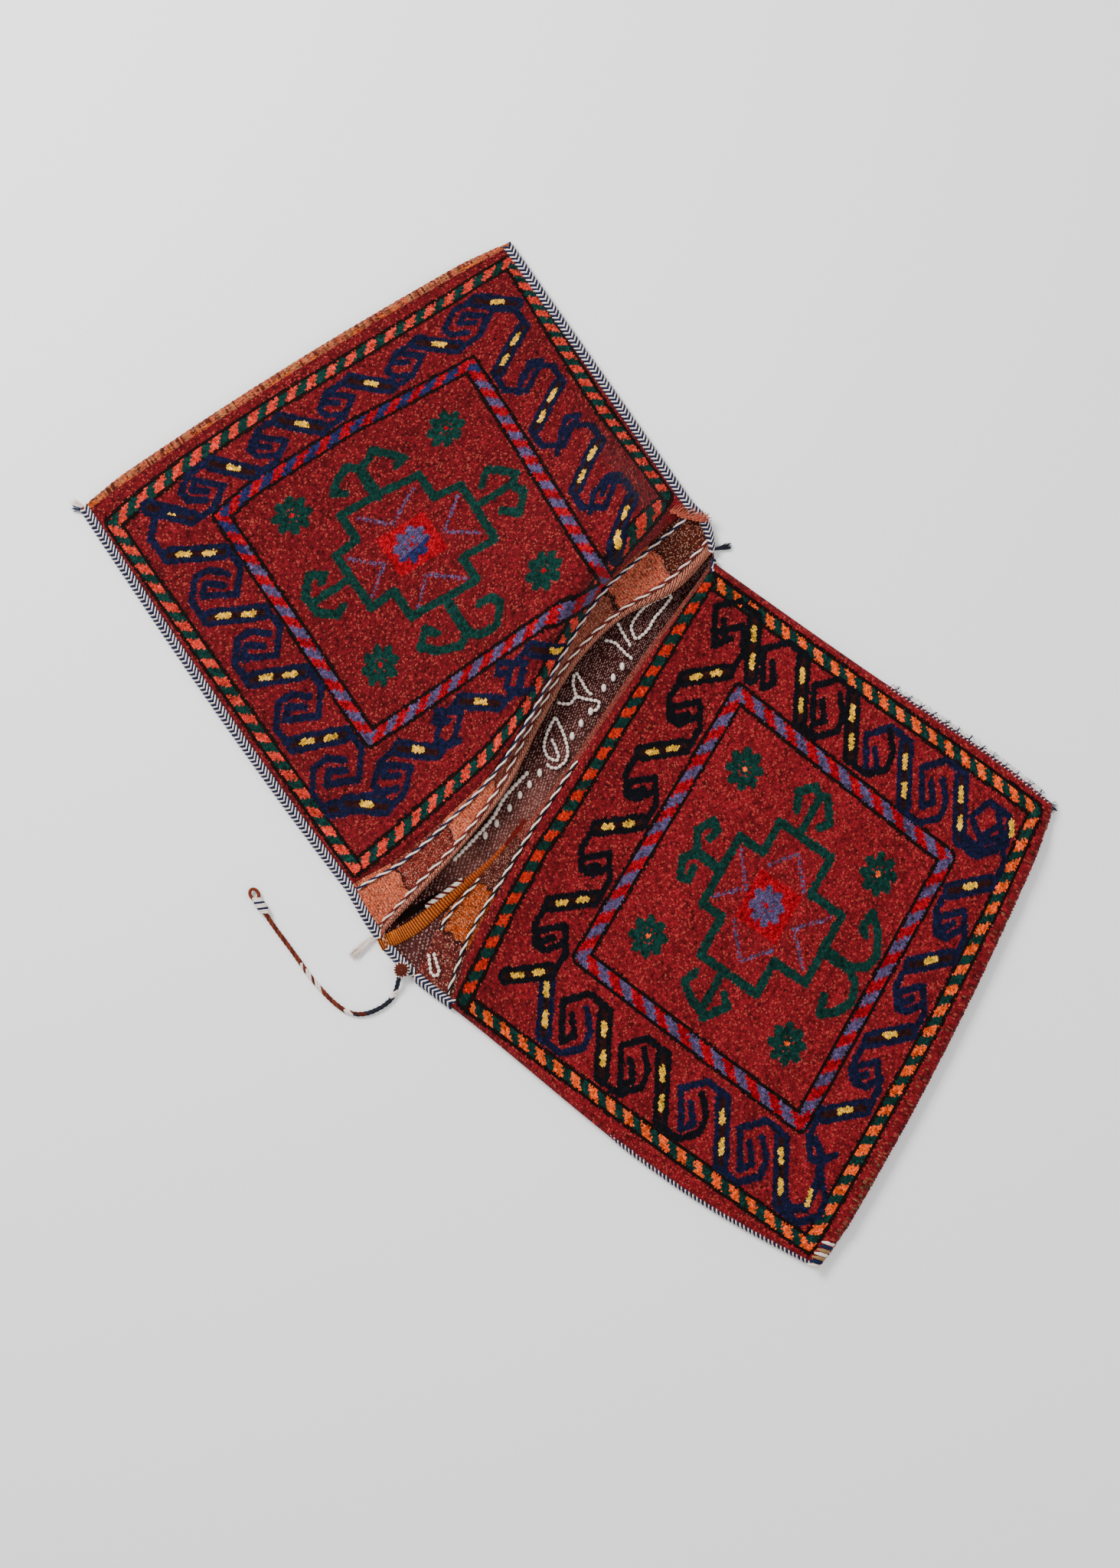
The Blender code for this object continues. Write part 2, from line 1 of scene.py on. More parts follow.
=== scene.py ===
"""Looks of a double saddle bag with knotted pile faces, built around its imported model.

The cloth's surfaces repeat the model's own functions, so every piece lies where the solid one does.
Lengths are in metres. The woven design is drawn on a chart of points, as a weaver's cartoon is.
"""

from math import cos, hypot, log, pi, radians, sin, sqrt

import bmesh
import bpy
import numpy as np
from mathutils import Matrix, Vector
from mathutils.bvhtree import BVHTree
from mathutils.geometry import interpolate_bezier


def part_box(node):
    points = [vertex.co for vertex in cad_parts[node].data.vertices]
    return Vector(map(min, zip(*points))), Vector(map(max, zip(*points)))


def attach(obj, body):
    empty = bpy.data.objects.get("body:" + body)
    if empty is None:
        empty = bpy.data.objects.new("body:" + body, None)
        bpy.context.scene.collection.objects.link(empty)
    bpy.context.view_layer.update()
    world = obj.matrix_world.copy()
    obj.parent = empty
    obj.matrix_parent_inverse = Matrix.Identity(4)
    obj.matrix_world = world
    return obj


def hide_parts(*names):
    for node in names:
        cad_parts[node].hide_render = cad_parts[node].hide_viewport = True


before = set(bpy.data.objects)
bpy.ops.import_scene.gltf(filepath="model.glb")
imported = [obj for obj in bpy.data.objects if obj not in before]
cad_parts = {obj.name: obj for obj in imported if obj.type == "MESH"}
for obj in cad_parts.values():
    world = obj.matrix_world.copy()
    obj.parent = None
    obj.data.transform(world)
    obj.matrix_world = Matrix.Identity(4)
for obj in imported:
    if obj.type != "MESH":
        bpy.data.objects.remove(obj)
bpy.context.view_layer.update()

# Plan of the bag, as in the model.
WIDTH = 0.558
A_LEFT = 0.500
A_RIGHT = 0.344
B_LEFT = 0.484
B_RIGHT = 0.445
A_TURN = radians(12.0)
B_TURN = radians(7.5)
MOUTH_GAP = 0.1145
B_SHIFT = -0.0235
A_MOUTH_TILT = radians(1.1)
B_MOUTH_TILT = radians(12.1)
LEFT_SELVEDGE_BOW = 0.012
RIGHT_SELVEDGE_BOW = 0.010

GROUND = 0.0035
PILE = 0.0075
CLEAR = 0.0003
FLOOR_GAP = 0.0002
SEAM_WALL = 0.0012
SEAM_SLIT = 0.0004
FLAT_MARGIN = 0.008
PILE_MARGIN = 0.018
SIDE_RISE = 0.062
SEAM_BACK = SEAM_WALL + CLEAR + GROUND
SEAM_FACE = SEAM_BACK + SEAM_SLIT

A_LOFT = 0.0185
B_LOFT = 0.0125
FOLD_GAP = 0.008
FOLD_RUN = 0.045
KILIM_SHOWN = 0.004

A_PILE_REACH = (0.000, 0.020, 0.029, 0.033, 0.021, 0.001, -0.013, -0.008, 0.000)
A_CORD_REACH = (0.052, 0.053, 0.055, 0.047, 0.026, 0.013, 0.018, 0.037, 0.042)
A_HEM_REACH = (0.062, 0.063, 0.062, 0.057, 0.038, 0.023, 0.026, 0.052, 0.057)
A_PILE_HEIGHT = (0.006, 0.014, 0.020, 0.030, 0.040, 0.034, 0.020, 0.018, 0.006)
A_CORD_HEIGHT = (0.008, 0.022, 0.026, 0.024, 0.019, 0.0185, 0.0185, 0.018, 0.008)
A_HEM_HEIGHT = (0.008, 0.020, 0.023, 0.020, 0.0165, 0.0160, 0.0160, 0.0165, 0.008)
A_CREST_HEIGHT = (0.006, 0.020, 0.024, 0.034, 0.048, 0.062, 0.070, 0.064, 0.020)
A_CREST_AT = 0.07
A_CREST_TAIL = 0.55
B_PILE_REACH = (0.000, 0.015, 0.019, 0.021, 0.019, 0.016, 0.012, 0.006, 0.000)
B_LIP = (0.049, 0.041, 0.024, 0.010, 0.006, 0.006, 0.006, 0.005, 0.004)

# How far each pouch bulges past its straight sides: its left side and where along it, its far edge, and
# its right side and where along it.
A_BULGE = (0.005, 0.45, 0.0075, 0.0, 0.5)
B_BULGE = (0.0165, 0.60, 0.0105, 0.0045, 0.80)

# Places in the mouth: shares across the bridge and from mouth line A to mouth line B. The two heights are
# those that a cord drops from to lie under lip A or over everything.
UNDER_LIP = 0.0105
OVER_ALL = 0.06
LEAF_CHAINS = (
    (1, ((0.759, 0.614), (0.763, 0.462), (0.791, 0.432), (0.821, 0.474), (0.870, 0.651), (0.843, 0.666),
         (0.815, 0.648), (0.791, 0.665), (0.763, 0.624))),
    (2, ((0.744, 0.286), (0.742, 0.408), (0.742, 0.522), (0.742, 0.607))),
    (3, ((0.703, 0.300), (0.717, 0.410), (0.722, 0.518), (0.726, 0.615), (0.733, 0.721))),
    (4, ((0.620, 0.274), (0.619, 0.384), (0.618, 0.498), (0.622, 0.568))),
    (5, ((0.615, 0.271), (0.601, 0.336), (0.593, 0.428), (0.573, 0.426), (0.554, 0.316))),
    (5, ((0.593, 0.440), (0.608, 0.551), (0.626, 0.676), (0.613, 0.703), (0.599, 0.650))),
    (6, ((0.535, 0.395), (0.506, 0.423), (0.482, 0.485), (0.477, 0.585), (0.491, 0.668), (0.501, 0.569),
         (0.503, 0.494))),
    (6, ((0.535, 0.400), (0.529, 0.567), (0.516, 0.700), (0.498, 0.735), (0.474, 0.690), (0.466, 0.600))),
)
HEM_ROPE = ((0.427, 0.505), (0.361, 0.472), (0.318, 0.495), (0.263, 0.478), (0.204, 0.449))
BRIDGE_ROPE = ((0.108, 0.490), (0.150, 0.540), (0.194, 0.590))
LOW_LOOP_ROOT = (0.056, 0.710)
LOW_LOOP_BIGHT = (0.030, 0.820)
LOW_LOOP_WIDTH = 0.013
ROOT_DOTS = (
    (0.706, 0.664), (0.678, 0.652), (0.650, 0.631), (0.601, 0.660), (0.571, 0.649), (0.541, 0.649),
    (0.444, 0.596), (0.414, 0.582), (0.386, 0.567), (0.354, 0.560), (0.315, 0.550), (0.283, 0.532),
)
CREASE_LINE = ((0.255, 0.700), (0.300, 0.715), (0.360, 0.722))
# A slit in the bridge, painted near-black as the shade inside it.
SHADED_SLIT = ((0.052, 0.390), (0.136, 0.506))
PALE_SPOTS = ((0.469, 0.891, 0.05), (0.391, 0.768, 0.05), (0.305, 0.697, 0.04), (0.22, 0.50, 0.05))
BAND_LINE = ((-0.004, 0.400), (0.070, 0.515), (0.181, 0.618), (0.255, 0.690), (0.300, 0.712))
BAND_WIDTHS = (0.015, 0.016, 0.014, 0.009, 0.005)
BAND_STEPS = 60
BAND_RIB = 0.0031

# Chain stitches: their size and pitch, and one link's steps along, lean, rise and share of its thickness.
LOOP_DIAMETER = 0.0042
CHAIN_PITCH = 0.0047
HEM_CHAIN_PITCH = 0.0056
HEM_CHAIN_SIZE = 0.0027
CHAIN_LINK = (
    (0, -0.30, -0.2, 0.3),
    (1, -0.16, 0.2, 0.85),
    (2, 0.0, 0.3, 1.0),
    (3, 0.16, 0.2, 0.85),
    (4, 0.30, -0.2, 0.3),
)
DOT_STEPS = (-0.0043, -0.0026, 0.0, 0.0026, 0.0043)
DOT_RADII = (0.0010, 0.0023, 0.0028, 0.0023, 0.0010)

# Twisted cords: a strand's radius, how far it lies from the cord's middle, and its lay.
ROPE_STRAND, ROPE_REACH, ROPE_LAY = 0.0016, 0.0014, 0.0105
TWINED_STRAND, TWINED_REACH, TWINED_LAY = 0.00118, 0.0009, 0.0195
BRAID_STRAND_SHARE, BRAID_LAY = 0.27, 0.016
ROPE_STEP = 0.001
TWINED_STEP = 0.0012

# Overcast stitches: the radii of the white and the navy ones, their pitch, and how far they lean.
STITCH_RADII = (0.00112, 0.00138)
STITCH_PITCH = 0.0025
STITCH_LEAN = 0.0036
SEAM_TUCK = 0.0045

TWINED_DIAMETER = 0.0036
TWINED_ENDS = (0.016, 0.984)
B_PILE_CORD_END = 0.52
B_HEM_CORD_ENDS = (0.10, 0.22)
BRIDGE_SEAM_GAP = 0.003

# One wrap on pouch B's far corner: its places across the pouch and into it, and their heights.
CORNER_WRAP = (
    (-0.004, 0.009, 0.0155),
    (-0.001, 0.003, 0.0150),
    (0.002, -0.003, 0.0115),
    (0.003, -0.004, 0.0065),
    (0.002, 0.000, 0.0024),
)

# The coiled pad: steps along its yarn, the step that comes to the rim, the turns up to there, and one
# stitch over the rim as places out from it, heights and radii.
PAD_STEPS = 150
PAD_RIM_STEP = 95
PAD_TURNS = 4.2
PAD_STITCHES = 15
PAD_STITCH = (
    (0.0012, 0.0010, 0.0006),
    (0.0014, 0.0032, 0.0009),
    (0.0008, 0.0050, 0.0009),
    (-0.0006, 0.0060, 0.0005),
)
PAD_REACH = 0.1036
PAD_OVERHANG = 0.0022
TUFT_REACH = 0.056
WHITE_TUFT_WAY = Vector((-0.11, -0.99, 0.0))

# Which yarn each wrap of the knot on the tie cord's end is made of.
WRAP_YARNS = (1, 1, 2, 1, 1, 2, 1, 1)

# The tie cord's route in the model's layout, and where along it the strands change their materials.
TIE_ROUTE = (
    (0.0549, -0.3113, 0.0098),
    (0.0585, -0.3175, 0.0080),
    (0.0625, -0.3255, 0.0042),
    (0.0646, -0.3340, 0.0030),
    (0.0640, -0.3430, 0.0030),
    (0.0615, -0.3520, 0.0030),
    (0.0570, -0.3620, 0.0030),
    (0.0500, -0.3705, 0.0030),
    (0.0400, -0.3765, 0.0030),
    (0.0286, -0.3789, 0.0030),
    (0.0170, -0.3794, 0.0030),
    (0.0051, -0.3788, 0.0030),
    (-0.0080, -0.3775, 0.0030),
    (-0.0207, -0.3757, 0.0030),
    (-0.0350, -0.3725, 0.0030),
    (-0.0492, -0.3696, 0.0030),
    (-0.0640, -0.3668, 0.0030),
    (-0.0778, -0.3643, 0.0036),
    (-0.0890, -0.3617, 0.0052),
    (-0.0976, -0.3592, 0.0064),
)
TIE_DIAMETER = 0.0055
TIE_STRETCHES = (
    (0.0, (3, 3, 3)),
    (0.06, (3, 1, 1)),
    (0.12, (3, 3, 3)),
    (0.26, (2, 3, 2)),
    (0.33, (1, 0, 1)),
    (0.38, (0, 2, 0)),
    (0.50, (0, 1, 0)),
    (0.55, (1, 1, 2)),
    (0.66, (0, 1, 0)),
    (0.70, (0, 2, 0)),
)

# The photograph was taken from straight above, turned by this much from the bag's own X axis.
PHOTO_TURN = radians(43.0)
PHOTO_HEIGHT_PX = 2048
METRES_PER_PX = 0.83e-3
CAMERA_HEIGHT = 4.2
# The photograph's middle in the model's layout.
PHOTO_MIDDLE = Vector((0.0395, -0.0393))

# Each lamp's place in the photograph's directions, its diameter and its power.
LAMPS = (("key", (-1.6, 1.6, 2.2), 1.3, 150.0), ("fill", (1.8, -0.6, 3.0), 3.0, 40.0))
SKY_STRENGTH = 0.75
FLOOR_HALF = 6.0
FLOOR_WHITE = 0.9

UP = Vector((0.0, 0.0, 1.0))
random = np.random.default_rng(7)


def mix(a, b, t):
    return a + (b - a) * t


def smooth(t):
    t = min(max(t, 0.0), 1.0)
    return t * t * (3 - 2 * t)


def across(values, u):
    """A smooth curve through evenly spaced values, read at a share u of the way across."""
    last = len(values) - 1
    at = min(max(u, 0.0), 1.0) * last
    i = min(int(at), last - 1)
    t = at - i
    p0, p1, p2, p3 = (values[min(max(i + k, 0), last)] for k in (-1, 0, 1, 2))
    bend = 2 * p0 - 5 * p1 + 4 * p2 - p3
    twist = 3 * p1 - p0 - 3 * p2 + p3
    return p1 + 0.5 * t * (p2 - p0 + t * (bend + t * twist))


def from_side(u):
    """Distance from the nearer selvedge."""
    return min(u, 1 - u) * WIDTH


def side_rise(u):
    return smooth((from_side(u) - FLAT_MARGIN) / (SIDE_RISE - FLAT_MARGIN))


def mouth_a(u):
    along = Vector((-sin(A_MOUTH_TILT), cos(A_MOUTH_TILT)))
    return Vector((-MOUTH_GAP / 2, 0.0)) + along * ((u - 0.5) * WIDTH)


def mouth_b(u):
    along = Vector((-sin(B_MOUTH_TILT), cos(B_MOUTH_TILT)))
    return Vector((MOUTH_GAP / 2, B_SHIFT)) + along * ((u - 0.5) * WIDTH)


def span(u):
    return (mouth_b(u) - mouth_a(u)).length


def bridge(u, t):
    """Plan place on the bridge, a share t of the way from mouth line A to mouth line B."""
    place = mouth_a(u).lerp(mouth_b(u), t)
    place.y += sin(pi * t) * (RIGHT_SELVEDGE_BOW * u**4 - LEFT_SELVEDGE_BOW * (1 - u) ** 4)
    return place


def bulge(sizes, u, v):
    """How far a pouch's cloth stands off its straight plan, across it and along it."""
    left, left_at, far, right, right_at = sizes
    v = min(max(v, 0.0), 1.0)
    across_it = right * u**3 * sin(pi * v ** (log(0.5) / log(right_at)))
    across_it -= left * (1 - u) ** 3 * sin(pi * v ** (log(0.5) / log(left_at)))
    return across_it, far * v**3 * sin(pi * min(max(u, 0.0), 1.0))


def pouch_plan(mouth, way, sizes, u, reach, length):
    aside, past = bulge(sizes, u, -reach / length)
    along = (mouth(1.0) - mouth(0.0)).normalized()
    return mouth(u) + way * (past - reach) + along * aside


def plan_a(u, reach):
    if reach >= 0:
        return bridge(u, reach / span(u))
    way = Vector((-cos(A_TURN), sin(A_TURN)))
    return pouch_plan(mouth_a, way, A_BULGE, u, reach, mix(A_LEFT, A_RIGHT, u))


def plan_b(u, reach):
    if reach >= 0:
        return bridge(u, 1 - reach / span(u))
    way = Vector((cos(B_TURN), sin(B_TURN)))
    return pouch_plan(mouth_b, way, B_BULGE, u, reach, mix(B_LEFT, B_RIGHT, u))


def back_height(u):
    flat = smooth((from_side(u) - FLAT_MARGIN) / (PILE_MARGIN - FLAT_MARGIN))
    return mix(SEAM_BACK, GROUND, flat)


def over_seam(u, height):
    return mix(SEAM_FACE, height, side_rise(u))


def far_fold(height, from_fold):
    return mix(GROUND + FOLD_GAP, height, smooth(from_fold / FOLD_RUN))


def lip_a(u, f):
    """Inner side of lip A: f is 0 at the pile edge, 1 at the cord near the hem, and 2 at the hem."""
    reaches = [across(v, u) for v in (A_PILE_REACH, A_CORD_REACH, A_HEM_REACH)]
    heights = [across(v, u) for v in (A_PILE_HEIGHT, A_CORD_HEIGHT, A_HEM_HEIGHT)]
    i = min(max(int(f), 0), 1)
    place = plan_a(u, mix(reaches[i], reaches[i + 1], f - i))
    return Vector((*place, over_seam(u, mix(heights[i], heights[i + 1], f - i))))


def face_a(u, v):
    """Inner side of face A: v is 0 at the pile edge and 1 at the far fold."""
    length = mix(A_LEFT, A_RIGHT, u)
    place = plan_a(u, across(A_PILE_REACH, u) * (1 - v) ** 2 - v * length)
    crest = across(A_CREST_HEIGHT, u)
    if v < A_CREST_AT:
        height = mix(across(A_PILE_HEIGHT, u), crest, smooth(v / A_CREST_AT))
    else:
        height = mix(crest, A_LOFT, smooth((v - A_CREST_AT) / (A_CREST_TAIL - A_CREST_AT)))
    return Vector((*place, over_seam(u, far_fold(height, (1 - v) * length))))


def face_b(u, v):
    """Inner side of face B: v is 0 at the pile edge and 1 at the far fold."""
    length = mix(B_LEFT, B_RIGHT, u)
    place = plan_b(u, across(B_PILE_REACH, u) * (1 - v) ** 2 - v * length)
    return Vector((*place, over_seam(u, far_fold(B_LOFT, (1 - v) * length))))


def lip_b(u, f):
    """Inner side of lip B: f is 0 at the pile edge and 1 at the hem."""
    place = plan_b(u, across(B_PILE_REACH, u) + f * across(B_LIP, u))
    return Vector((*place, over_seam(u, B_LOFT)))


def back(u, s):
    """Inner side of the bridge and the backs: s is -1 at A's fold, 0 and 1 at the mouths, 2 at B's fold."""
    if s < 0:
        place = plan_a(u, s * mix(A_LEFT, A_RIGHT, u))
    elif s > 1:
        place = plan_b(u, (1 - s) * mix(B_LEFT, B_RIGHT, u))
    else:
        place = bridge(u, s)
    return Vector((*place, back_height(u)))


def knot_pad_shift():
    """From the model's layout to the row frame: the knot pad's middle here, less its place in the layout."""
    low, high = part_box("knot_pad")
    selvedge = plan_a(0.0, PAD_REACH)
    return Vector(((low.x + high.x) / 2 - selvedge.x, (low.y + high.y) / 2 - selvedge.y + PAD_OVERHANG, 0.0))


SHIFT = knot_pad_shift()

# How finely each cloth is made: its cells across and along, and the cuts that divide the side that shows.
PILE_CELLS = (40, 37)
FINE_CUTS = 7
PLAIN_CUTS = 3
BACK_CUTS = 1
KNOT_RELIEF = 0.0013
KNOT_JITTER = 0.0013
RIB_PITCH = 0.0031
RIB_RELIEF = 0.0007
# Where the pile starts beside the left and the right selvedge, and where it has its full depth.
A_PILE_MARGINS = ((0.0075, 0.013), (0.006, 0.012))
B_PILE_MARGINS = ((0.0003, 0.005), (0.0003, 0.005))
PILE_EDGE = 0.006
# Pouch B's pile goes on past its far edge by a share of its length, and turns by this angle there.
B_PILE_WRAP = 1.03
B_WRAP_ANGLE = 0.8 * pi
# The shares of the flat-woven end up to which it lies on the face and in the fold of pouch A, and the
# share of the pouch's length at which its back takes over.
KILIM_SHARES = (0.3, 0.75)
BACK_A_START = 0.98
# How deep the bridge is for its width, as the lines on it are measured.
BRIDGE_SHAPE = 0.2
YARN_FIBRE = 0.0007
YARN_FUZZ = 0.0003


def linear(code):
    """The shader's colour for an sRGB hex value."""
    parts = [int(code[i : i + 2], 16) / 255 for i in (1, 3, 5)]
    return [c / 12.92 if c <= 0.04045 else ((c + 0.055) / 1.055) ** 2.4 for c in parts]


def add_node(tree, kind, links, **settings):
    """Adds a node. links gives each of its inputs a value or another node's output."""
    node = tree.nodes.new(kind)
    for name, value in settings.items():
        setattr(node, name, value)
    for socket, value in links.items():
        if isinstance(value, bpy.types.NodeSocket):
            tree.links.new(value, node.inputs[socket])
        else:
            node.inputs[socket].default_value = value
    return node


def wool(name, fibre, depth, tones, colour=None):
    """Matt wool: its dye from the cloth's own attribute or one colour, mottled and roughened by fibres.

    fibre is the size of its tufts and hairs in metres, depth how far they stand off it, and tones the
    darkest and the lightest share of the dye between them.
    """
    material = bpy.data.materials.new(name)
    material.use_nodes = True
    tree = material.node_tree
    shader = tree.nodes["Principled BSDF"]
    place = add_node(tree, "ShaderNodeTexCoord", {}).outputs["Object"]
    hairs = add_node(tree, "ShaderNodeTexNoise", {"Vector": place, "Scale": 1 / fibre, "Detail": 3.0})
    span_of_noise = {"Value": hairs.outputs["Fac"], "From Min": 0.3, "From Max": 0.7}
    span_of_noise.update({"To Min": tones[0], "To Max": tones[1]})
    tone = add_node(tree, "ShaderNodeMapRange", span_of_noise)
    dye = add_node(tree, "ShaderNodeAttribute", {}, attribute_name="dye").outputs["Color"]
    if colour:
        dye = (*linear(colour), 1.0)
    toned = add_node(
        tree,
        "ShaderNodeMix",
        {"Factor": 1.0, 6: dye, 7: tone.outputs["Result"]},
        data_type="RGBA",
        blend_type="MULTIPLY",
    )
    bump = add_node(
        tree, "ShaderNodeBump", {"Height": hairs.outputs["Fac"], "Distance": depth, "Strength": 0.8}
    )
    tree.links.new(toned.outputs[2], shader.inputs["Base Color"])
    tree.links.new(bump.outputs["Normal"], shader.inputs["Normal"])
    shader.inputs["Roughness"].default_value = 0.95
    shader.inputs["Specular IOR Level"].default_value = 0.08
    shader.inputs["Sheen Weight"].default_value = 0.06
    shader.inputs["Sheen Roughness"].default_value = 0.45
    return material


def camera():
    """Straight above the bag, turned and framed as the photograph is."""
    data = bpy.data.cameras.new("camera")
    data.sensor_fit = "VERTICAL"
    data.lens = data.sensor_height * CAMERA_HEIGHT / (PHOTO_HEIGHT_PX * METRES_PER_PX)
    thing = bpy.data.objects.new("camera", data)
    thing.location = (PHOTO_MIDDLE.x + SHIFT.x, PHOTO_MIDDLE.y + SHIFT.y, CAMERA_HEIGHT)
    thing.rotation_euler = (0.0, 0.0, PHOTO_TURN)
    bpy.context.scene.collection.objects.link(thing)
    bpy.context.scene.camera = thing


def finish_piece(thing, nodes):
    """Puts a piece in the scene, on the one body, in place of the solids that it stands for."""
    bpy.context.scene.collection.objects.link(thing)
    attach(thing, "root")
    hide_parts(*nodes)
    return thing


def runs_along(points):
    steps = [(b - a).length for a, b in zip(points, points[1:])]
    return np.concatenate([[0.0], np.cumsum(steps)])


def smooth_route(points, count):
    """Points evenly spread along one smooth curve through the route's own points."""
    route = [Vector(p) for p in points]
    line = []
    for i in range(len(route) - 1):
        before, start, end, after = (route[min(max(i + k, 0), len(route) - 1)] for k in (-1, 0, 1, 2))
        first, second = start + (end - before) / 6, end - (after - start) / 6
        line += interpolate_bezier(start, first, second, end, 12)[:-1]
    line.append(route[-1])
    along = runs_along(line)
    wanted = np.linspace(0.0, along[-1], count)
    return [Vector(np.interp(w, along, [p[k] for p in line]) for k in range(3)) for w in wanted]


def yarns(name, lines, materials, sides=6):
    """A mesh of many round yarns. Each line is (its points, their radii, the number of its material)."""
    curve = bpy.data.curves.new(name, "CURVE")
    curve.dimensions = "3D"
    curve.bevel_depth = 1.0
    curve.bevel_resolution = (sides - 4) // 2
    curve.use_fill_caps = True
    for material in materials:
        curve.materials.append(material)
    for points, radii, number in lines:
        spline = curve.splines.new("POLY")
        spline.points.add(len(points) - 1)
        for target, point, radius in zip(spline.points, points, radii):
            target.co = (point.x, point.y, max(point.z, radius + FLOOR_GAP), 1.0)
            target.radius = radius
        spline.use_smooth = True
        spline.material_index = number
    draft = bpy.data.objects.new(name + "_draft", curve)
    bpy.context.scene.collection.objects.link(draft)
    bpy.context.view_layer.update()
    mesh = bpy.data.meshes.new_from_object(draft.evaluated_get(bpy.context.evaluated_depsgraph_get()))
    bpy.data.objects.remove(draft, do_unlink=True)
    bpy.data.curves.remove(curve)
    mesh.name = name
    shape = bmesh.new()
    shape.from_mesh(mesh)
    bmesh.ops.remove_doubles(shape, verts=shape.verts, dist=0.000001)
    shape.to_mesh(mesh)
    shape.free()
    mesh.shade_smooth()
    return bpy.data.objects.new(name, mesh)


def frames_along(points):
    """For each point of a line, the line's direction and two directions square to it, without twist."""
    made = []
    side = None
    for i, point in enumerate(points):
        ahead = points[min(i + 1, len(points) - 1)] - points[max(i - 1, 0)]
        ahead = ahead.normalized()
        if side is None:
            side = ahead.cross(UP).normalized()
        side = (side - ahead * side.dot(ahead)).normalized()
        made.append((ahead, side, ahead.cross(side)))
    return made


def box_grid(cells, cuts):
    """A closed slab in shares of u and v, divided coarsely below and finely above."""
    shape = bmesh.new()
    bmesh.ops.create_grid(shape, x_segments=cells[0], y_segments=cells[1], size=0.5)
    grown = bmesh.ops.extrude_face_region(shape, geom=list(shape.faces), use_keep_orig=True)
    upper = [part for part in grown["geom"] if isinstance(part, bmesh.types.BMVert)]
    for vert in upper:
        vert.co.z = 1.0
    tops = set(upper)
    edges = [edge for edge in shape.edges if edge.verts[0] in tops and edge.verts[1] in tops]
    bmesh.ops.subdivide_edges(shape, edges=edges, cuts=cuts, use_grid_fill=True)
    bmesh.ops.recalc_face_normals(shape, faces=shape.faces)
    return shape


def even_rows(place, u, count):
    """The shares v that divide the cloth's length at u into even rows."""
    samples = np.linspace(0.0, 1.0, 61)
    line = np.array([place(u, v) for v in samples])
    run = np.concatenate([[0.0], np.cumsum(np.linalg.norm(np.diff(line, axis=0), axis=1))])
    return np.interp(np.linspace(0.0, run[-1], count + 1), run, samples)


def surface(place, side, fine):
    """The shares, the points and the outward directions of a cloth's fine grid."""
    us = np.linspace(0.0, 1.0, fine[0] + 1)
    vs = np.array([even_rows(place, u, fine[1]) for u in us]).T
    points = np.array([[place(u, v) for u, v in zip(us, row)] for row in vs])
    out = np.cross(np.gradient(points, axis=1), np.gradient(points, axis=0)) * side
    out /= np.maximum(np.linalg.norm(out, axis=2, keepdims=True), 1e-9)
    return us, vs, points, out


def paint(mesh, fine, us, vs, dye):
    """Writes the dye of each fine square of a cloth's grid into the mesh."""
    centres = np.empty(len(mesh.polygons) * 3)
    mesh.polygons.foreach_get("center", centres)
    squares = (centres.reshape(-1, 3)[:, :2] + 0.5) * fine
    column = np.clip(squares[:, 0].astype(int), 0, fine[0] - 1)
    row = np.clip(squares[:, 1].astype(int), 0, fine[1] - 1)
    corners = np.empty(len(mesh.polygons), dtype=np.int32)
    mesh.polygons.foreach_get("loop_total", corners)
    painted = np.ones((corners.sum(), 4))
    painted[:, :3] = np.repeat(dye(us[column], vs[row, column], column, row), corners, axis=0)
    attribute = mesh.color_attributes.new("dye", "FLOAT_COLOR", "CORNER")
    attribute.data.foreach_set("color", painted.ravel())


def cloth(name, place, side, cells, cuts, below, above, dye, material):
    """One closed cloth between two surfaces that run beside place(u, v).

    side is 1 where u, v and the outward side make a right-handed set, and -1 where they don't. below and
    above give the distance of the coarse and of the fine surface from place, as functions of arrays of u,
    v and the numbers of the fine columns and rows. dye gives the colour of each fine square from u, v and
    the square's numbers.
    """
    fine = (cells[0] * (cuts + 1), cells[1] * (cuts + 1))
    us, vs, points, out = surface(place, side, fine)
    shape = box_grid(cells, cuts)
    if side < 0:
        bmesh.ops.reverse_faces(shape, faces=shape.faces)
    mesh = bpy.data.meshes.new(name)
    shape.to_mesh(mesh)
    shape.free()
    paint(mesh, fine, us, vs, dye)
    spots = np.empty(len(mesh.vertices) * 3)
    mesh.vertices.foreach_get("co", spots)
    spots = spots.reshape(-1, 3)
    i = np.rint((spots[:, 0] + 0.5) * fine[0]).astype(int)
    j = np.rint((spots[:, 1] + 0.5) * fine[1]).astype(int)
    u, v = us[i], vs[j, i]
    off = np.where(spots[:, 2] > 0.5, above(u, v, i, j), below(u, v, i, j))
    moved = points[j, i] + out[j, i] * off[:, None] + np.array(SHIFT)
    moved[:, 2] = np.maximum(moved[:, 2], FLOOR_GAP)
    mesh.vertices.foreach_set("co", moved.ravel())
    mesh.materials.append(material)
    mesh.shade_smooth()
    mesh.update()
    return bpy.data.objects.new(name, mesh)


def finish_cloth(thing):
    """Puts a cloth in the scene as part of the one strip."""
    finish_piece(thing, ["woven_strip"])
    return thing


def fold(face, plan, lengths, u, angle):
    """Inner side of the bend past the far edge, 0 at the face and pi at the back."""
    top = face(u, 1.0).z
    half = (top - back_height(u)) / 2
    place = plan(u, -mix(*lengths, u) - half * sin(angle))
    return Vector((*place, top - half + half * cos(angle)))


def ease(values, start, end):
    t = np.clip((values - start) / (end - start), 0.0, 1.0)
    return t * t * (3 - 2 * t)


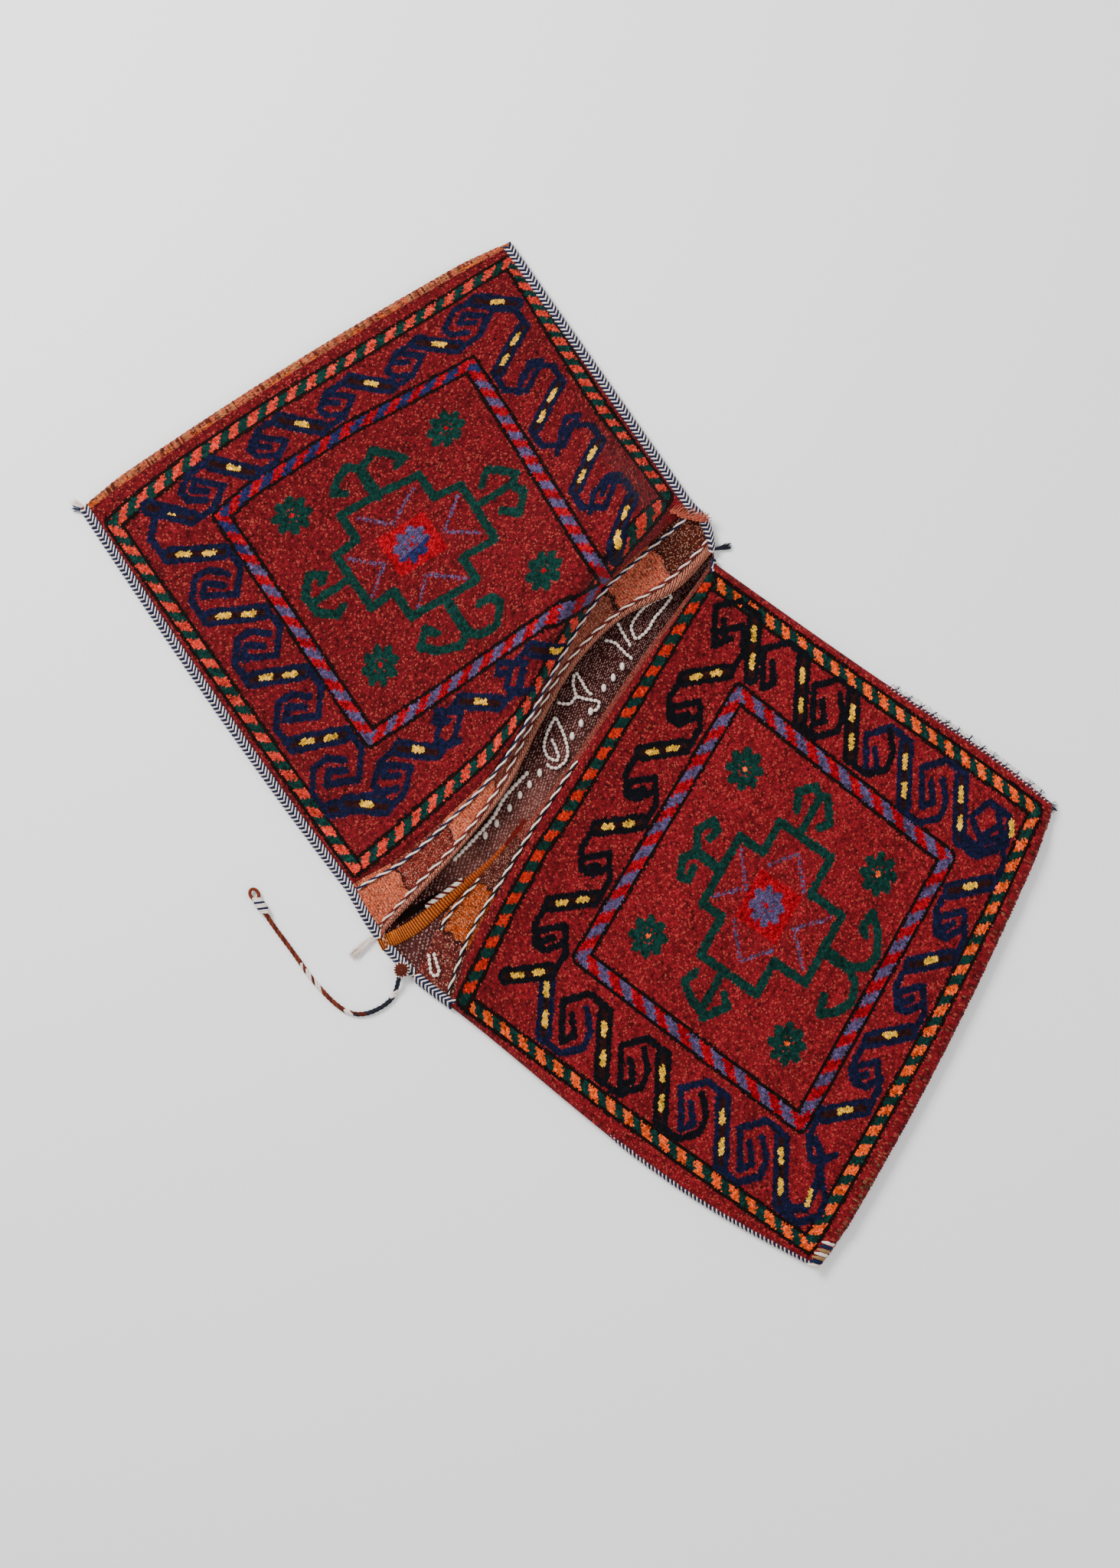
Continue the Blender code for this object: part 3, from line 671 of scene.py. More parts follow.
def pile_depth(edge, left, right):
    """Thickness of a piled cloth, which thins at the lip and beside the seams.

    edge is its share at the lip. left and right are where the pile starts beside each selvedge, and
    where it has its full depth.
    """

    def depth(u, v, i, j):
        piled = ease(u * WIDTH, *left) * ease((1 - u) * WIDTH, *right) * edge(v)
        knot = (i % 2) * 0.5 + (j % 2) * 0.5
        bumps = knot * KNOT_RELIEF + random.uniform(-0.5, 0.5, u.shape) * KNOT_JITTER
        return mix(GROUND, PILE - KNOT_RELIEF / 2, piled) + bumps * piled

    return depth


def sunk(depth):
    """A surface that lies evenly below its cloth's own."""

    def below(u, v, i, j):
        return np.full_like(u, -depth)

    return below


def shade(colours, spread):
    """The same colours with an uneven take-up of the dye from square to square."""
    return colours * (1 + spread * random.standard_normal((len(colours), 1))).clip(0.4, 1.8)


def speckled(colours, share, code, strength):
    """The same colours with a share of the squares drawn towards another one."""
    hit = (random.random((len(colours), 1)) < share) * strength
    return mix(colours, np.array(linear(code)), hit)


def from_line(x, y, points):
    """Distance of places from a line through points, the run along it, and the signed distance beside it."""
    best = np.full(x.shape, np.inf)
    along = np.zeros(x.shape)
    beside = np.zeros(x.shape)
    run = 0.0
    for (x0, y0), (x1, y1) in zip(points, points[1:]):
        length = hypot(x1 - x0, y1 - y0)
        ex, ey = (x1 - x0) / length, (y1 - y0) / length
        dx, dy = x - x0, y - y0
        on = np.clip(dx * ex + dy * ey, 0, length)
        gap = np.hypot(dx - on * ex, dy - on * ey)
        closer = gap < best
        best = np.where(closer, gap, best)
        along = np.where(closer, run + on, along)
        beside = np.where(closer, dy * ex - dx * ey, beside)
        run += length
    return best, along, beside


# The design of the two faces, in points of a chart that is CHART_WIDTH wide and CHART_DEPTH deep, with
# the far edge at 0 and the mouth line at CHART_DEPTH. A knot is about eight points.
CHART_WIDTH = 1320
CHART_DEPTH = 1200
DYES = {
    "brick": "#6B1017",
    # Pouch A's ground: the brick red made darker as painted shade.
    "shaded_brick": "#5A0D13",
    "green": "#072A24",
    "orange": "#D64A16",
    "coral": "#B22E22",
    "navy": "#0C0F28",
    "ink": "#08080E",
    "core": "#220908",
    "yellow": "#D09A26",
    "lavender": "#463A5A",
    "blue": "#1A1E44",
    "scarlet": "#860010",
    "outline": "#120605",
    "flame": "#B01E0A",
    "tan": "#6E4A30",
}
KNOT = 8
SCROLL_LINE = 19
BAR_WIDTH = 46
CORE_WIDTH = 15
# One scroll of the border for a run that goes down the chart: its bar, the hook that its right end turns
# into, and the hook that its left end turns back into. The run's spots lie on the bar.
BAR = ((-68, -42), (64, 34))
HOOK = ((78, 25), (81, 96), (26, 150), (-58, 97), (-30, 75), (10, 108))
BACK_HOOK = ((-80, -45), (-82, -108), (-37, -152), (6, -146), (46, -107))
SPOTS = ((-34, -23, 15), (28, 14, 15))
PETALS = tuple(radians(22.5 + 45 * k) for k in range(8))


class Cartoon:
    """The design of one face, drawn on the places of its knots."""

    def __init__(self, x, y, ground):
        self.x, self.y = x, y
        self.names = list(DYES)
        self.ink = np.full(x.shape, self.names.index(ground))

    def colour(self, where, name):
        self.ink[where] = self.names.index(name)

    def line(self, points, width, name):
        self.colour(from_line(self.x, self.y, points)[0] < width / 2, name)

    def dots(self, points, width, pitch, name):
        gap, along, _ = from_line(self.x, self.y, points)
        self.colour((gap < width / 2) & ((along / pitch) % 1.0 < 0.62), name)

    def stripe(self, points, width, pitch, slant, first, second, edge=KNOT * 1.3):
        """A barber-pole stripe between two thin dark lines. slant is how far its steps lean."""
        gap, along, beside = from_line(self.x, self.y, points)
        self.colour(gap < width / 2 + edge, "outline")
        step = np.floor((beside + width / 2) / (KNOT * 1.15)) * KNOT * 1.15 * slant
        phase = ((along + step) / pitch) % 1.0
        inside = gap < width / 2
        self.colour(inside & (phase < 0.5), first)
        self.colour(inside & (phase >= 0.5), second)

    def block(self, corners, name):
        """Fills a convex field, given its corners in turn."""
        inside = np.ones(self.x.shape, dtype=bool)
        for (x0, y0), (x1, y1) in zip(corners, corners[1:] + corners[:1]):
            inside &= (x1 - x0) * (self.y - y0) - (y1 - y0) * (self.x - x0) >= 0
        self.colour(inside, name)

    def flower(self, x, y, radius, name, middle):
        """A flower of eight petals in a ring around a small middle."""
        for angle in PETALS:
            px, py = x + radius * 0.66 * cos(angle), y + radius * 0.66 * sin(angle)
            dx, dy = self.x - px, self.y - py
            out = dx * cos(angle) + dy * sin(angle)
            over = dy * cos(angle) - dx * sin(angle)
            self.colour((out / (radius * 0.36)) ** 2 + (over / (radius * 0.25)) ** 2 < 1, name)
        self.colour(np.hypot(self.x - x, self.y - y) < radius * 0.3, name)
        self.colour(np.hypot(self.x - x, self.y - y) < radius * 0.13, middle)

    def scroll(self, x, y, way, lean, deep, line, hooks="both", spots=SPOTS):
        """One scroll of the border. way and lean turn its run and its sides to the chart's axes."""

        def turned(points):
            aside = [(a * deep * lean[0], a * deep * lean[1]) for a, _ in points]
            return [(x + p + r * way[0], y + q + r * way[1]) for (p, q), (_, r) in zip(aside, points)]

        if hooks in ("both", "hook"):
            self.line(turned(HOOK), SCROLL_LINE, line)
        if hooks in ("both", "back"):
            self.line(turned(BACK_HOOK), SCROLL_LINE, line)
        bar = turned(BAR)
        self.line(bar, BAR_WIDTH, line)
        self.line(bar, CORE_WIDTH, "core")
        for a, r, half in spots:
            ends = turned(((a - half * 0.8, r - half * 0.45), (a + half * 0.8, r + half * 0.45)))
            self.line(ends, CORE_WIDTH, "yellow")

    def is_dyed(self, name):
        """Where the design has a dye at this moment."""
        return self.ink == self.names.index(name)

    def medallion(self, cross, horns, stems, rays, square, flower, middle):
        """A stepped cross with ram's horns on thick stems, dotted rays, and a flower on a square."""
        for points in (cross, *horns):
            self.line(points, HORN_LINE, "green")
        for points, width in stems:
            self.line(points, width, "green")
        for points in rays:
            self.dots(points, 10, 11, "lavender")
        self.block(square, "scarlet")
        self.flower(*flower, "lavender", middle)


# Directions on the chart.
DOWN, RIGHT, LEFT, UP_CHART = (0, 1), (1, 0), (-1, 0), (0, -1)
ONE_SPOT = ((-2, -1, 20),)
HORN_LINE = 24
STAR_RADIUS = 56

# The scrolls of each border in the order in which they are drawn: the direction that they go, the side
# that their bars lean to, how deep they are, their dye, and each one's place, hooks and spots.
SCROLLS_B = (
    (DOWN, RIGHT, 1.0, "navy", ((150, 205, "both", SPOTS), (145, 397, "both", SPOTS))),
    (DOWN, RIGHT, 1.0, "ink", ((146, 597, "both", SPOTS), (152, 795, "both", SPOTS))),
    (DOWN, RIGHT, 1.0, "navy", ((150, 985, "back", SPOTS),)),
    (DOWN, RIGHT, 0.95, "navy", ((1172, 232, "both", SPOTS), (1158, 420, "both", SPOTS))),
    (DOWN, RIGHT, 0.95, "ink", ((1180, 622, "both", SPOTS), (1183, 802, "both", SPOTS))),
    (DOWN, RIGHT, 0.95, "ink", ((1198, 985, "hook", SPOTS),)),
    (RIGHT, UP_CHART, 0.68, "navy", ((370, 122, "both", ONE_SPOT), (595, 106, "both", ONE_SPOT))),
    (RIGHT, UP_CHART, 0.68, "navy", ((812, 100, "both", ONE_SPOT), (1025, 98, "both", ONE_SPOT))),
    (RIGHT, UP_CHART, 0.72, "ink", ((188, 1062, "hook", SPOTS), (405, 1058, "both", SPOTS))),
    (RIGHT, UP_CHART, 0.72, "ink", ((632, 1054, "both", SPOTS), (855, 1054, "both", SPOTS))),
    (RIGHT, UP_CHART, 0.72, "ink", ((1075, 1056, "both", SPOTS),)),
)
SCROLLS_A = (
    (RIGHT, DOWN, 0.66, "navy", ((190, 142, "hook", ONE_SPOT), (390, 136, "both", ONE_SPOT))),
    (RIGHT, DOWN, 0.66, "navy", ((602, 140, "both", ONE_SPOT), (812, 156, "both", ONE_SPOT))),
    (RIGHT, DOWN, 0.66, "navy", ((1015, 174, "both", ONE_SPOT), (1200, 165, "back", ONE_SPOT))),
    (DOWN, RIGHT, 0.9, "navy", ((182, 275, "both", SPOTS), (176, 472, "both", SPOTS))),
    (DOWN, RIGHT, 0.9, "navy", ((175, 672, "both", SPOTS), (168, 875, "both", SPOTS))),
    (DOWN, RIGHT, 0.9, "navy", ((148, 1068, "back", ONE_SPOT),)),
    (DOWN, LEFT, 0.85, "navy", ((1155, 335, "both", SPOTS), (1150, 577, "both", SPOTS))),
    (DOWN, LEFT, 0.85, "navy", ((1140, 840, "both", SPOTS), (1120, 1072, "back", SPOTS))),
    (RIGHT, DOWN, 0.66, "navy", ((172, 1090, "hook", ONE_SPOT), (365, 1090, "both", ONE_SPOT))),
    (RIGHT, DOWN, 0.66, "navy", ((572, 1130, "both", ONE_SPOT), (800, 1180, "back", ONE_SPOT))),
)


def draw_border(art, scrolls):
    for way, lean, deep, dye, places in scrolls:
        for x, y, hooks, spots in places:
            art.scroll(x, y, way, lean, deep, dye, hooks, spots)


def draw_b(x, y):
    """Pouch B: a green cross with ram's horns in a red and lavender frame, scrolls and a barber pole."""
    art = Cartoon(x, y, "brick")
    sides = [(1276, 1186), (1277, 600), (1279, 28), (1000, 13), (650, 13), (300, 29), (34, 42), (32, 1170)]
    art.stripe(sides, 29, 58, 0.8, "green", "orange")
    mouth = [(32, 1176), (100, 1182), (300, 1201), (465, 1207), (569, 1198), (1276, 1192)]
    art.stripe(mouth, 27, 62, 0.7, "green", "flame")
    inner = [(276, 215), (285, 600), (298, 962), (700, 955), (1082, 950), (1062, 560), (1048, 195)]
    art.stripe([*inner, inner[0]], 32, 78, 1.2, "scarlet", "lavender")
    draw_border(art, SCROLLS_B)
    corner = [(1120, 190), (1110, 120), (1165, 60), (1225, 90), (1225, 160), (1170, 190), (1140, 140)]
    art.line([*corner, (1185, 110)], SCROLL_LINE, "navy")
    art.line([(1192, 62), (1216, 78)], CORE_WIDTH, "yellow")
    art.line([(265, 160), (240, 120), (190, 100), (110, 95), (85, 130), (100, 160)], HORN_LINE, "navy")
    art.line([(120, 96), (150, 104)], 12, "yellow")
    cross = [(575, 385), (770, 385), (770, 490), (875, 490), (875, 665), (785, 665), (785, 745)]
    cross += [(590, 745), (590, 680), (480, 680), (480, 490), (575, 490), (575, 385)]
    horns = (
        [(672, 385), (672, 300), (650, 262), (605, 245), (560, 272), (533, 310), (575, 322)],
        [(672, 300), (700, 255), (740, 245), (790, 270), (822, 310), (780, 318), (765, 300)],
        [(686, 745), (686, 830)],
        [(686, 828), (655, 855), (612, 835), (618, 812), (650, 815)],
        [(686, 828), (735, 858), (778, 832), (765, 808), (735, 815)],
        [(480, 602), (362, 602), (352, 588), (410, 545), (432, 568)],
        [(362, 602), (372, 640), (400, 682), (435, 668)],
        [(880, 600), (985, 600), (995, 580), (945, 540), (922, 560)],
        [(985, 600), (1000, 625), (965, 662), (925, 640)],
    )
    stems = (([(672, 385), (672, 310)], 32), ([(686, 745), (686, 815)], 28))
    rays = (
        [(602, 410), (670, 485), (748, 410)],
        [(592, 512), (525, 575), (600, 642)],
        [(765, 512), (835, 575), (770, 632)],
        [(620, 728), (685, 660), (757, 722)],
    )
    square = [(611, 509), (749, 509), (749, 649), (611, 649)]
    art.medallion(cross, horns, stems, rays, square, (679, 583, 52), "scarlet")
    for place in ((422, 350), (912, 348), (440, 830), (932, 828)):
        art.flower(*place, STAR_RADIUS, "green", "orange")
    flecks = np.sin(x * 0.45) * np.sin(y * 0.31 + x * 0.06) > mix(0.35, 0.85, ease(x, 60.0, 520.0))
    art.colour((y < -8) & flecks, "tan")
    return art


def draw_a(x, y):
    """Pouch A: the same design, drawn askew as the cloth has been pulled."""
    # Its ground is the brick red painted darker as shade.
    art = Cartoon(x, y, "shaded_brick")
    mouth = [(48, 1182), (104, 1191), (232, 1207), (400, 1232), (506, 1246), (639, 1243), (699, 1221)]
    mouth += [(830, 1172), (950, 1135), (1050, 1110), (1143, 1106), (1270, 1112)]
    art.stripe(mouth, 28, 58, 0.8, "green", "coral")
    sides = [(1268, 1106), (1262, 700), (1292, 60), (1120, 66), (900, 58), (550, 46), (300, 54), (48, 78)]
    art.stripe([*sides, (48, 1180)], 30, 60, 0.9, "green", "coral")
    inner = [(290, 225), (282, 600), (275, 968), (660, 1060), (1012, 1150), (1040, 640), (1052, 290)]
    inner += [(700, 232), (400, 214), (290, 225)]
    art.stripe(inner, 30, 70, 1.2, "scarlet", "lavender")
    art.colour(art.is_dyed("lavender") & (y < 330 + 0.3 * (x % 97)), "blue")
    draw_border(art, SCROLLS_A)
    cross = [(545, 428), (660, 448), (775, 478), (775, 565), (850, 590), (845, 806), (745, 775), (745, 860)]
    cross += [(548, 800), (548, 706), (475, 698), (475, 512), (545, 515), (545, 428)]
    horns = (
        [(660, 450), (655, 350), (632, 322), (590, 340), (562, 365), (590, 385)],
        [(655, 350), (690, 345), (712, 328), (740, 365), (768, 408), (742, 412)],
        [(470, 590), (350, 575), (345, 550), (390, 508), (422, 535), (405, 545)],
        [(350, 575), (350, 605), (390, 648), (415, 640)],
        [(855, 682), (960, 706), (985, 690), (955, 640), (930, 610), (895, 640)],
        [(960, 706), (975, 755), (935, 800), (900, 750)],
        [(648, 850), (645, 955), (615, 970), (560, 935), (520, 885), (560, 855), (578, 890)],
        [(645, 955), (672, 990), (720, 1005), (762, 965), (750, 930), (715, 920)],
    )
    stems = (([(655, 450), (655, 370)], 34), ([(648, 850), (646, 940)], 30))
    rays = (
        [(580, 468), (645, 548), (742, 502)],
        [(498, 545), (566, 625), (494, 672)],
        [(826, 614), (745, 672), (820, 756)],
        [(578, 792), (645, 735), (722, 832)],
    )
    square = [(583, 551), (730, 579), (730, 720), (583, 690)]
    art.medallion(cross, horns, stems, rays, square, (656, 634, 54), "scarlet")
    low = art.is_dyed("lavender") & (np.hypot(x - 656, y - 634) < 60)
    art.colour(low & (y > 650), "blue")
    for place in ((442, 342), (902, 414), (408, 840), (900, 992)):
        art.flower(*place, STAR_RADIUS, "green", "scarlet")
    return art


def knot_dye(draw, reach, lengths, sizes, mouth_light_and_shade):
    """Colours of the fine squares of a piled face. reach gives a knot's reach from the mouth line.

    mouth_light_and_shade is painted light and shade beside the mouth, as a share of the rest: above 1 a
    painted highlight, below 1 a painted shadow.
    """

    def dye(u, v, column, row):
        away = np.array([reach(a, b) for a, b in zip(u, v)])
        length = mix(*lengths, u)
        moved = np.array([bulge(sizes, a, b) for a, b in zip(u, -away / length)])
        x = (u + moved[:, 0] / WIDTH) * CHART_WIDTH + random.uniform(-2, 2, len(u))
        y = CHART_DEPTH * (1 + (away - moved[:, 1]) / length) + random.uniform(-2, 2, len(u))
        art = draw(x, y)
        colours = np.array([linear(code) for code in DYES.values()])[art.ink]
        knots = random.standard_normal((column.max() // 2 + 1, row.max() // 2 + 1))
        band = 0.06 * np.sin(v * 61) + 0.05 * np.sin(v * 23 + 2 * u)
        # Painted light and shade beside the mouth: lighter on pouch A's lit slope, darker on pouch B in the
        # shadow of A's crest.
        lean = mix(mouth_light_and_shade, 1.0, ease(v, 0.02, 0.22))
        tone = lean * (1 + band + 0.24 * knots[column // 2, row // 2])
        made = shade(colours * tone.clip(0.35, 1.8)[:, None], 0.2)
        ground = art.is_dyed("brick") | art.is_dyed("shaded_brick")
        made[ground] = speckled(made, 0.10, "#D8604C", 0.25)[ground]
        return made

    return dye


def pile_face(name, side, place, shown, lengths, reaches, bulges, margins, design, mouth_light_and_shade, material):
    """A piled face. shown is the share of its straight length that the pile covers, folds included."""

    def edge(v):
        return ease(v * lengths[1], 0.0, PILE_EDGE)

    def reach(u, v):
        v *= shown
        return across(reaches, u) * (1 - v) ** 2 - v * mix(*lengths, u)

    depth = pile_depth(edge, *margins)
    dye = knot_dye(design, reach, lengths, bulges, mouth_light_and_shade)
    return cloth(name, place, side, PILE_CELLS, FINE_CUTS, sunk(0.0), depth, dye, material)


def pile_face_a(material):
    """Pouch A's pile, which ends beside the flat-woven end at the far edge."""
    shown = 1 - KILIM_SHOWN / A_LEFT
    lengths = (A_LEFT, A_RIGHT)

    def place(u, v):
        return face_a(u, v * shown)

    bends = (A_PILE_REACH, A_BULGE, A_PILE_MARGINS)
    # Pouch A's pile is painted a quarter lighter beside the mouth, as painted light on its lit slope.
    thing = pile_face("pile_face_a", 1, place, shown, lengths, *bends, draw_a, 1.25, material)
    return finish_cloth(thing)


def pile_face_b(material):
    """Pouch B's pile, which goes on round the fold at the far edge."""
    lengths = (B_LEFT, B_RIGHT)

    def place(u, v):
        past = v * B_PILE_WRAP
        if past < 1:
            return face_b(u, past)
        return fold(face_b, plan_b, lengths, u, (past - 1) / (B_PILE_WRAP - 1) * B_WRAP_ANGLE)

    bends = (B_PILE_REACH, B_BULGE, B_PILE_MARGINS)
    # Pouch B's pile is painted darker beside the mouth, as the painted shadow of pouch A's crest.
    thing = pile_face("pile_face_b", -1, place, B_PILE_WRAP, lengths, *bends, draw_b, 0.72, material)
    return finish_cloth(thing)


def weave_depth(base, relief):
    """Height of a flat weave's upper side: fine ribs along it, and a little unevenness."""

    def depth(u, v, i, j):
        ribs = 0.5 + 0.5 * np.cos(2 * pi * u * WIDTH / RIB_PITCH)
        return base + (ribs - 1) * relief + random.uniform(-0.15, 0.15, u.shape) * relief

    return depth


def blocks_dye(blocks, hem=2.0):
    """Weft-faced blocks across a strip, as (where each ends, its colour). Past hem the strip is rolled."""

    def dye(u, v, column, row):
        at = u + 0.003 * np.sin(v * 19) + 0.0015 * random.standard_normal(len(u))
        ends = np.array([end for end, _ in blocks])
        colours = np.array([linear(code) for _, code in blocks])
        which = np.searchsorted(ends, at).clip(0, len(blocks) - 1)
        tufts = random.standard_normal((column.max() // 2 + 1, row.max() // 3 + 1))
        grain = 1 + 0.3 * tufts[column // 2, row // 3]
        made = speckled(shade(colours[which] * grain.clip(0.35, 1.9)[:, None], 0.3), 0.14, "#E2A88E", 0.4)
        between = np.abs(at[:, None] - ends[None, :-1]).min(axis=1) < 0.0022
        made[between] = linear("#2A100E")
        rolled = v > hem
        turn = np.sin(2 * pi * (u * WIDTH / 0.0042 + v * 9))
        roll = np.where(turn[:, None] > 0, linear("#4A211B"), linear("#C4775F"))
        made[rolled] = shade(roll, 0.18)[rolled]
        # Painted shade in the grooves between the ribs: up to a fifth darker, lightest on the rib crests.
        return made * (0.8 + 0.2 * np.cos(2 * pi * u * WIDTH / RIB_PITCH))[:, None]

    return dye


def lip_strip_a(material):
    """Lip A in blocks of salmon and maroon, with a thick rolled hem."""

    def place(u, v):
        return lip_a(u, 2 * v)

    def depth(u, v, i, j):
        hem = np.sin(pi * ((v - 0.62) / 0.38).clip(0, 1)) * 0.0032
        hem *= ease(np.minimum(u, 1 - u) * WIDTH, 0.004, 0.02)
        return weave_depth(GROUND, RIB_RELIEF)(u, v, i, j) + hem

    salmon, maroon = "#A84C32", "#652019"
    blocks = ((0.105, salmon), (0.233, maroon), (0.361, salmon), (0.56, "#74301F"), (0.755, "#7E3C2C"))
    blocks += ((0.762, "#2A100E"), (0.885, "#A84C36"), (1.0, "#46190F"))
    dye = blocks_dye(blocks, 0.6)
    thing = cloth("lip_strip_a", place, -1, (64, 8), FINE_CUTS, sunk(0.0), depth, dye, material)
    return finish_cloth(thing)


def lip_strip_b(material):
    """Lip B in rust and brown, orange near its left end."""
    blocks = ((0.105, "#5A201C"), (0.22, "#923A12"), (0.328, "#4A1D18"), (1.0, "#6B2620"))
    depth = weave_depth(GROUND, RIB_RELIEF)
    dye = blocks_dye(blocks)
    thing = cloth("lip_strip_b", lip_b, 1, (64, 5), FINE_CUTS, sunk(0.0), depth, dye, material)
    return finish_cloth(thing)


def kilim_end(material):
    """The flat-woven end that shows at pouch A's far edge and turns round the fold onto the back."""
    start = 1 - KILIM_SHOWN / A_LEFT
    above, turned = KILIM_SHARES

    def place(u, v):
        if v < above:
            return face_a(u, mix(start, 1.0, v / above))
        if v < turned:
            return fold(face_a, plan_a, (A_LEFT, A_RIGHT), u, pi * (v - above) / (turned - above))
        return back(u, -mix(1.0, BACK_A_START, (v - turned) / (1 - turned)))

    def dye(u, v, column, row):
        yarn = np.array([linear(code) for code in ("#7E4A2C", "#48180F", "#8A3A24", "#64301F")])
        order = random.integers(0, len(yarn), column.max() + 1)
        made = yarn[order[column]]
        patch = (v < above) & (np.sin(u * 71) + np.sin(u * 29) > 0.5) & (random.random(len(u)) < 0.6)
        made[patch] = linear("#A8480F")
        return speckled(shade(made, 0.35), 0.2, "#B06A4A", 0.4)

    depth = weave_depth(GROUND, RIB_RELIEF)
    thing = cloth("kilim_end_a", place, 1, (64, 8), PLAIN_CUTS, sunk(0.0), depth, dye, material)
    return finish_cloth(thing)


def back_dye(u, v, column, row):
    """Plain stripes along the warp of the two backs."""
    stripes = np.sin(v * 60) + 0.6 * np.sin(v * 143)
    made = np.tile(linear("#641B14"), (len(u), 1))
    made[stripes > 0.9] = linear("#12162E")
    made[stripes < -1.25] = linear("#A08E76")
    return shade(made, 0.16)


def bridge_dye(u, v, column, row):
    """Maroon-brown with rows of light flecks, darker beside lip A partly as painted shade of its hem, and
    paler towards pouch B.
    """
    deep, light = np.array(linear("#2C0F0E")), np.array(linear("#43201E"))
    # Darker near lip A and paler towards pouch B: partly the cloth's own maroon-brown, partly painted shade
    # that lip A's hem casts.
    made = mix(deep, light, (ease(v, 0.40, 0.66) * ease(0.75 - u, 0.0, 0.3))[:, None])
    pale = np.zeros(len(u))
    for at_u, at_v, size in PALE_SPOTS:
        pale = np.maximum(pale, np.exp(-(((u - at_u) / size) ** 2) - ((v - at_v) / (size * 4)) ** 2))
    made = mix(made, np.array(linear("#8A5146")), (pale * 0.35)[:, None])
    fleck = ((row + column // 3) % 3 == 0) & (random.random(len(u)) < 0.5)
    made[fleck] = mix(made, np.array(linear("#C79C92")), 0.4)[fleck]
    # The crease is the cloth's own red line; the slit is painted near-black as shade.
    for line, reach, code in ((CREASE_LINE, 0.004, "#5E1510"), (SHADED_SLIT, 0.005, "#120807")):
        points = [(a, b * BRIDGE_SHAPE) for a, b in line]
        made[from_line(u, v * BRIDGE_SHAPE, points)[0] < reach] = linear(code)
    return shade(made, 0.24)


def laid_weave(name, ends, cells, cuts, dye, material):
    """A stretch of the cloth that lies on the floor, between two places along it."""

    def place(u, v):
        return back(u, mix(*ends, v))

    depth = weave_depth(0.0, RIB_RELIEF)
    thing = cloth(name, place, -1, cells, cuts, sunk(GROUND), depth, dye, material)
    return finish_cloth(thing)


def gathered_band(material):
    """The ribbed orange band that is gathered up along the left of the bridge."""
    line = smooth_route([(*place, 0.0) for place in BAND_LINE], BAND_STEPS + 1)
    middles = [bridge(point.x, point.y) for point in line]
    length = sum((b - a).length for a, b in zip(middles, middles[1:]))

    def place(u, v):
        k = min(int(u * BAND_STEPS), BAND_STEPS - 1)
        middle = middles[k].lerp(middles[k + 1], u * BAND_STEPS - k)
        along = (middles[k + 1] - middles[k]).normalized()
        beside = Vector((-along.y, along.x)) * (v - 0.5) * across(BAND_WIDTHS, u)
        return Vector((*(middle + beside), back_height(max(line[k].x, 0.0))))

    def depth(u, v, i, j):
        hump = np.sin(pi * v) ** 0.6 * (0.0042 - 0.0026 * u)
        return 0.0004 + hump * (0.75 + 0.35 * np.cos(2 * pi * u * length / BAND_RIB))

    def dye(u, v, column, row):
        # Dark rib grooves are painted shade and bright orange rib crests painted highlights, over the band's
        # own orange wool.
        ribs = (0.5 + 0.5 * np.cos(2 * pi * u * length / BAND_RIB))[:, None]
        made = mix(np.array(linear("#3E120A")), np.array(linear("#CC6818")), ribs**1.5)
        return shade(mix(made, np.array(linear("#8E3418")), (u**2 * 0.8)[:, None]), 0.25)

    thing = cloth("gathered_band", place, 1, (72, 5), PLAIN_CUTS, sunk(0.001), depth, dye, material)
    return finish_cloth(thing)


def seat(things):
    """The surfaces of several cloths together, for what lies on them."""
    places, faces = [], []
    for thing in things:
        start = len(places)
        places += [vert.co for vert in thing.data.vertices]
        faces += [[start + i for i in face.vertices] for face in thing.data.polygons]
    return BVHTree.FromPolygons(places, faces)


def clear_of(ground, place, radius, way):
    """A ball's middle, moved from place along way until it is clear of the cloths."""
    for _ in range(150):
        nearest = ground.find_nearest(place)
        if (place - nearest[0]).dot(nearest[1]) > 0 and nearest[3] >= radius:
            return place
        place = place + way * (radius / 8)
    return place


def lie_on(ground, place, radius, start):
    """A ball's middle over a plan place, where it rests on the cloths. start is how high it drops from."""
    highest = radius
    for share in (0.0, 0.6, 0.95):
        for turn in range(8):
            aside = Vector((cos(turn * pi / 4), sin(turn * pi / 4))) * radius * share
            spot = ground.ray_cast(Vector((*(place + aside), start)), -UP)[0]
            if spot:
                highest = max(highest, spot.z + radius * sqrt(1 - share**2))
    return Vector((*place, highest))


def twist(points, strand, reach, lay, numbers, swell=0.0):
    """Strands wound around a line. numbers are the strands' materials."""
    runs = runs_along(points)
    lines = []
    for k, number in enumerate(numbers):
        turned, radii = [], []
        for point, (ahead, side, up), along in zip(points, frames_along(points), runs):
            turn = 2 * pi * (along / lay + k / len(numbers))
            turned.append(point + (side * cos(turn) + up * sin(turn)) * reach)
            radii.append(strand * (1 + swell * sin(turn)))
        lines.append((turned, radii, number))
    return lines


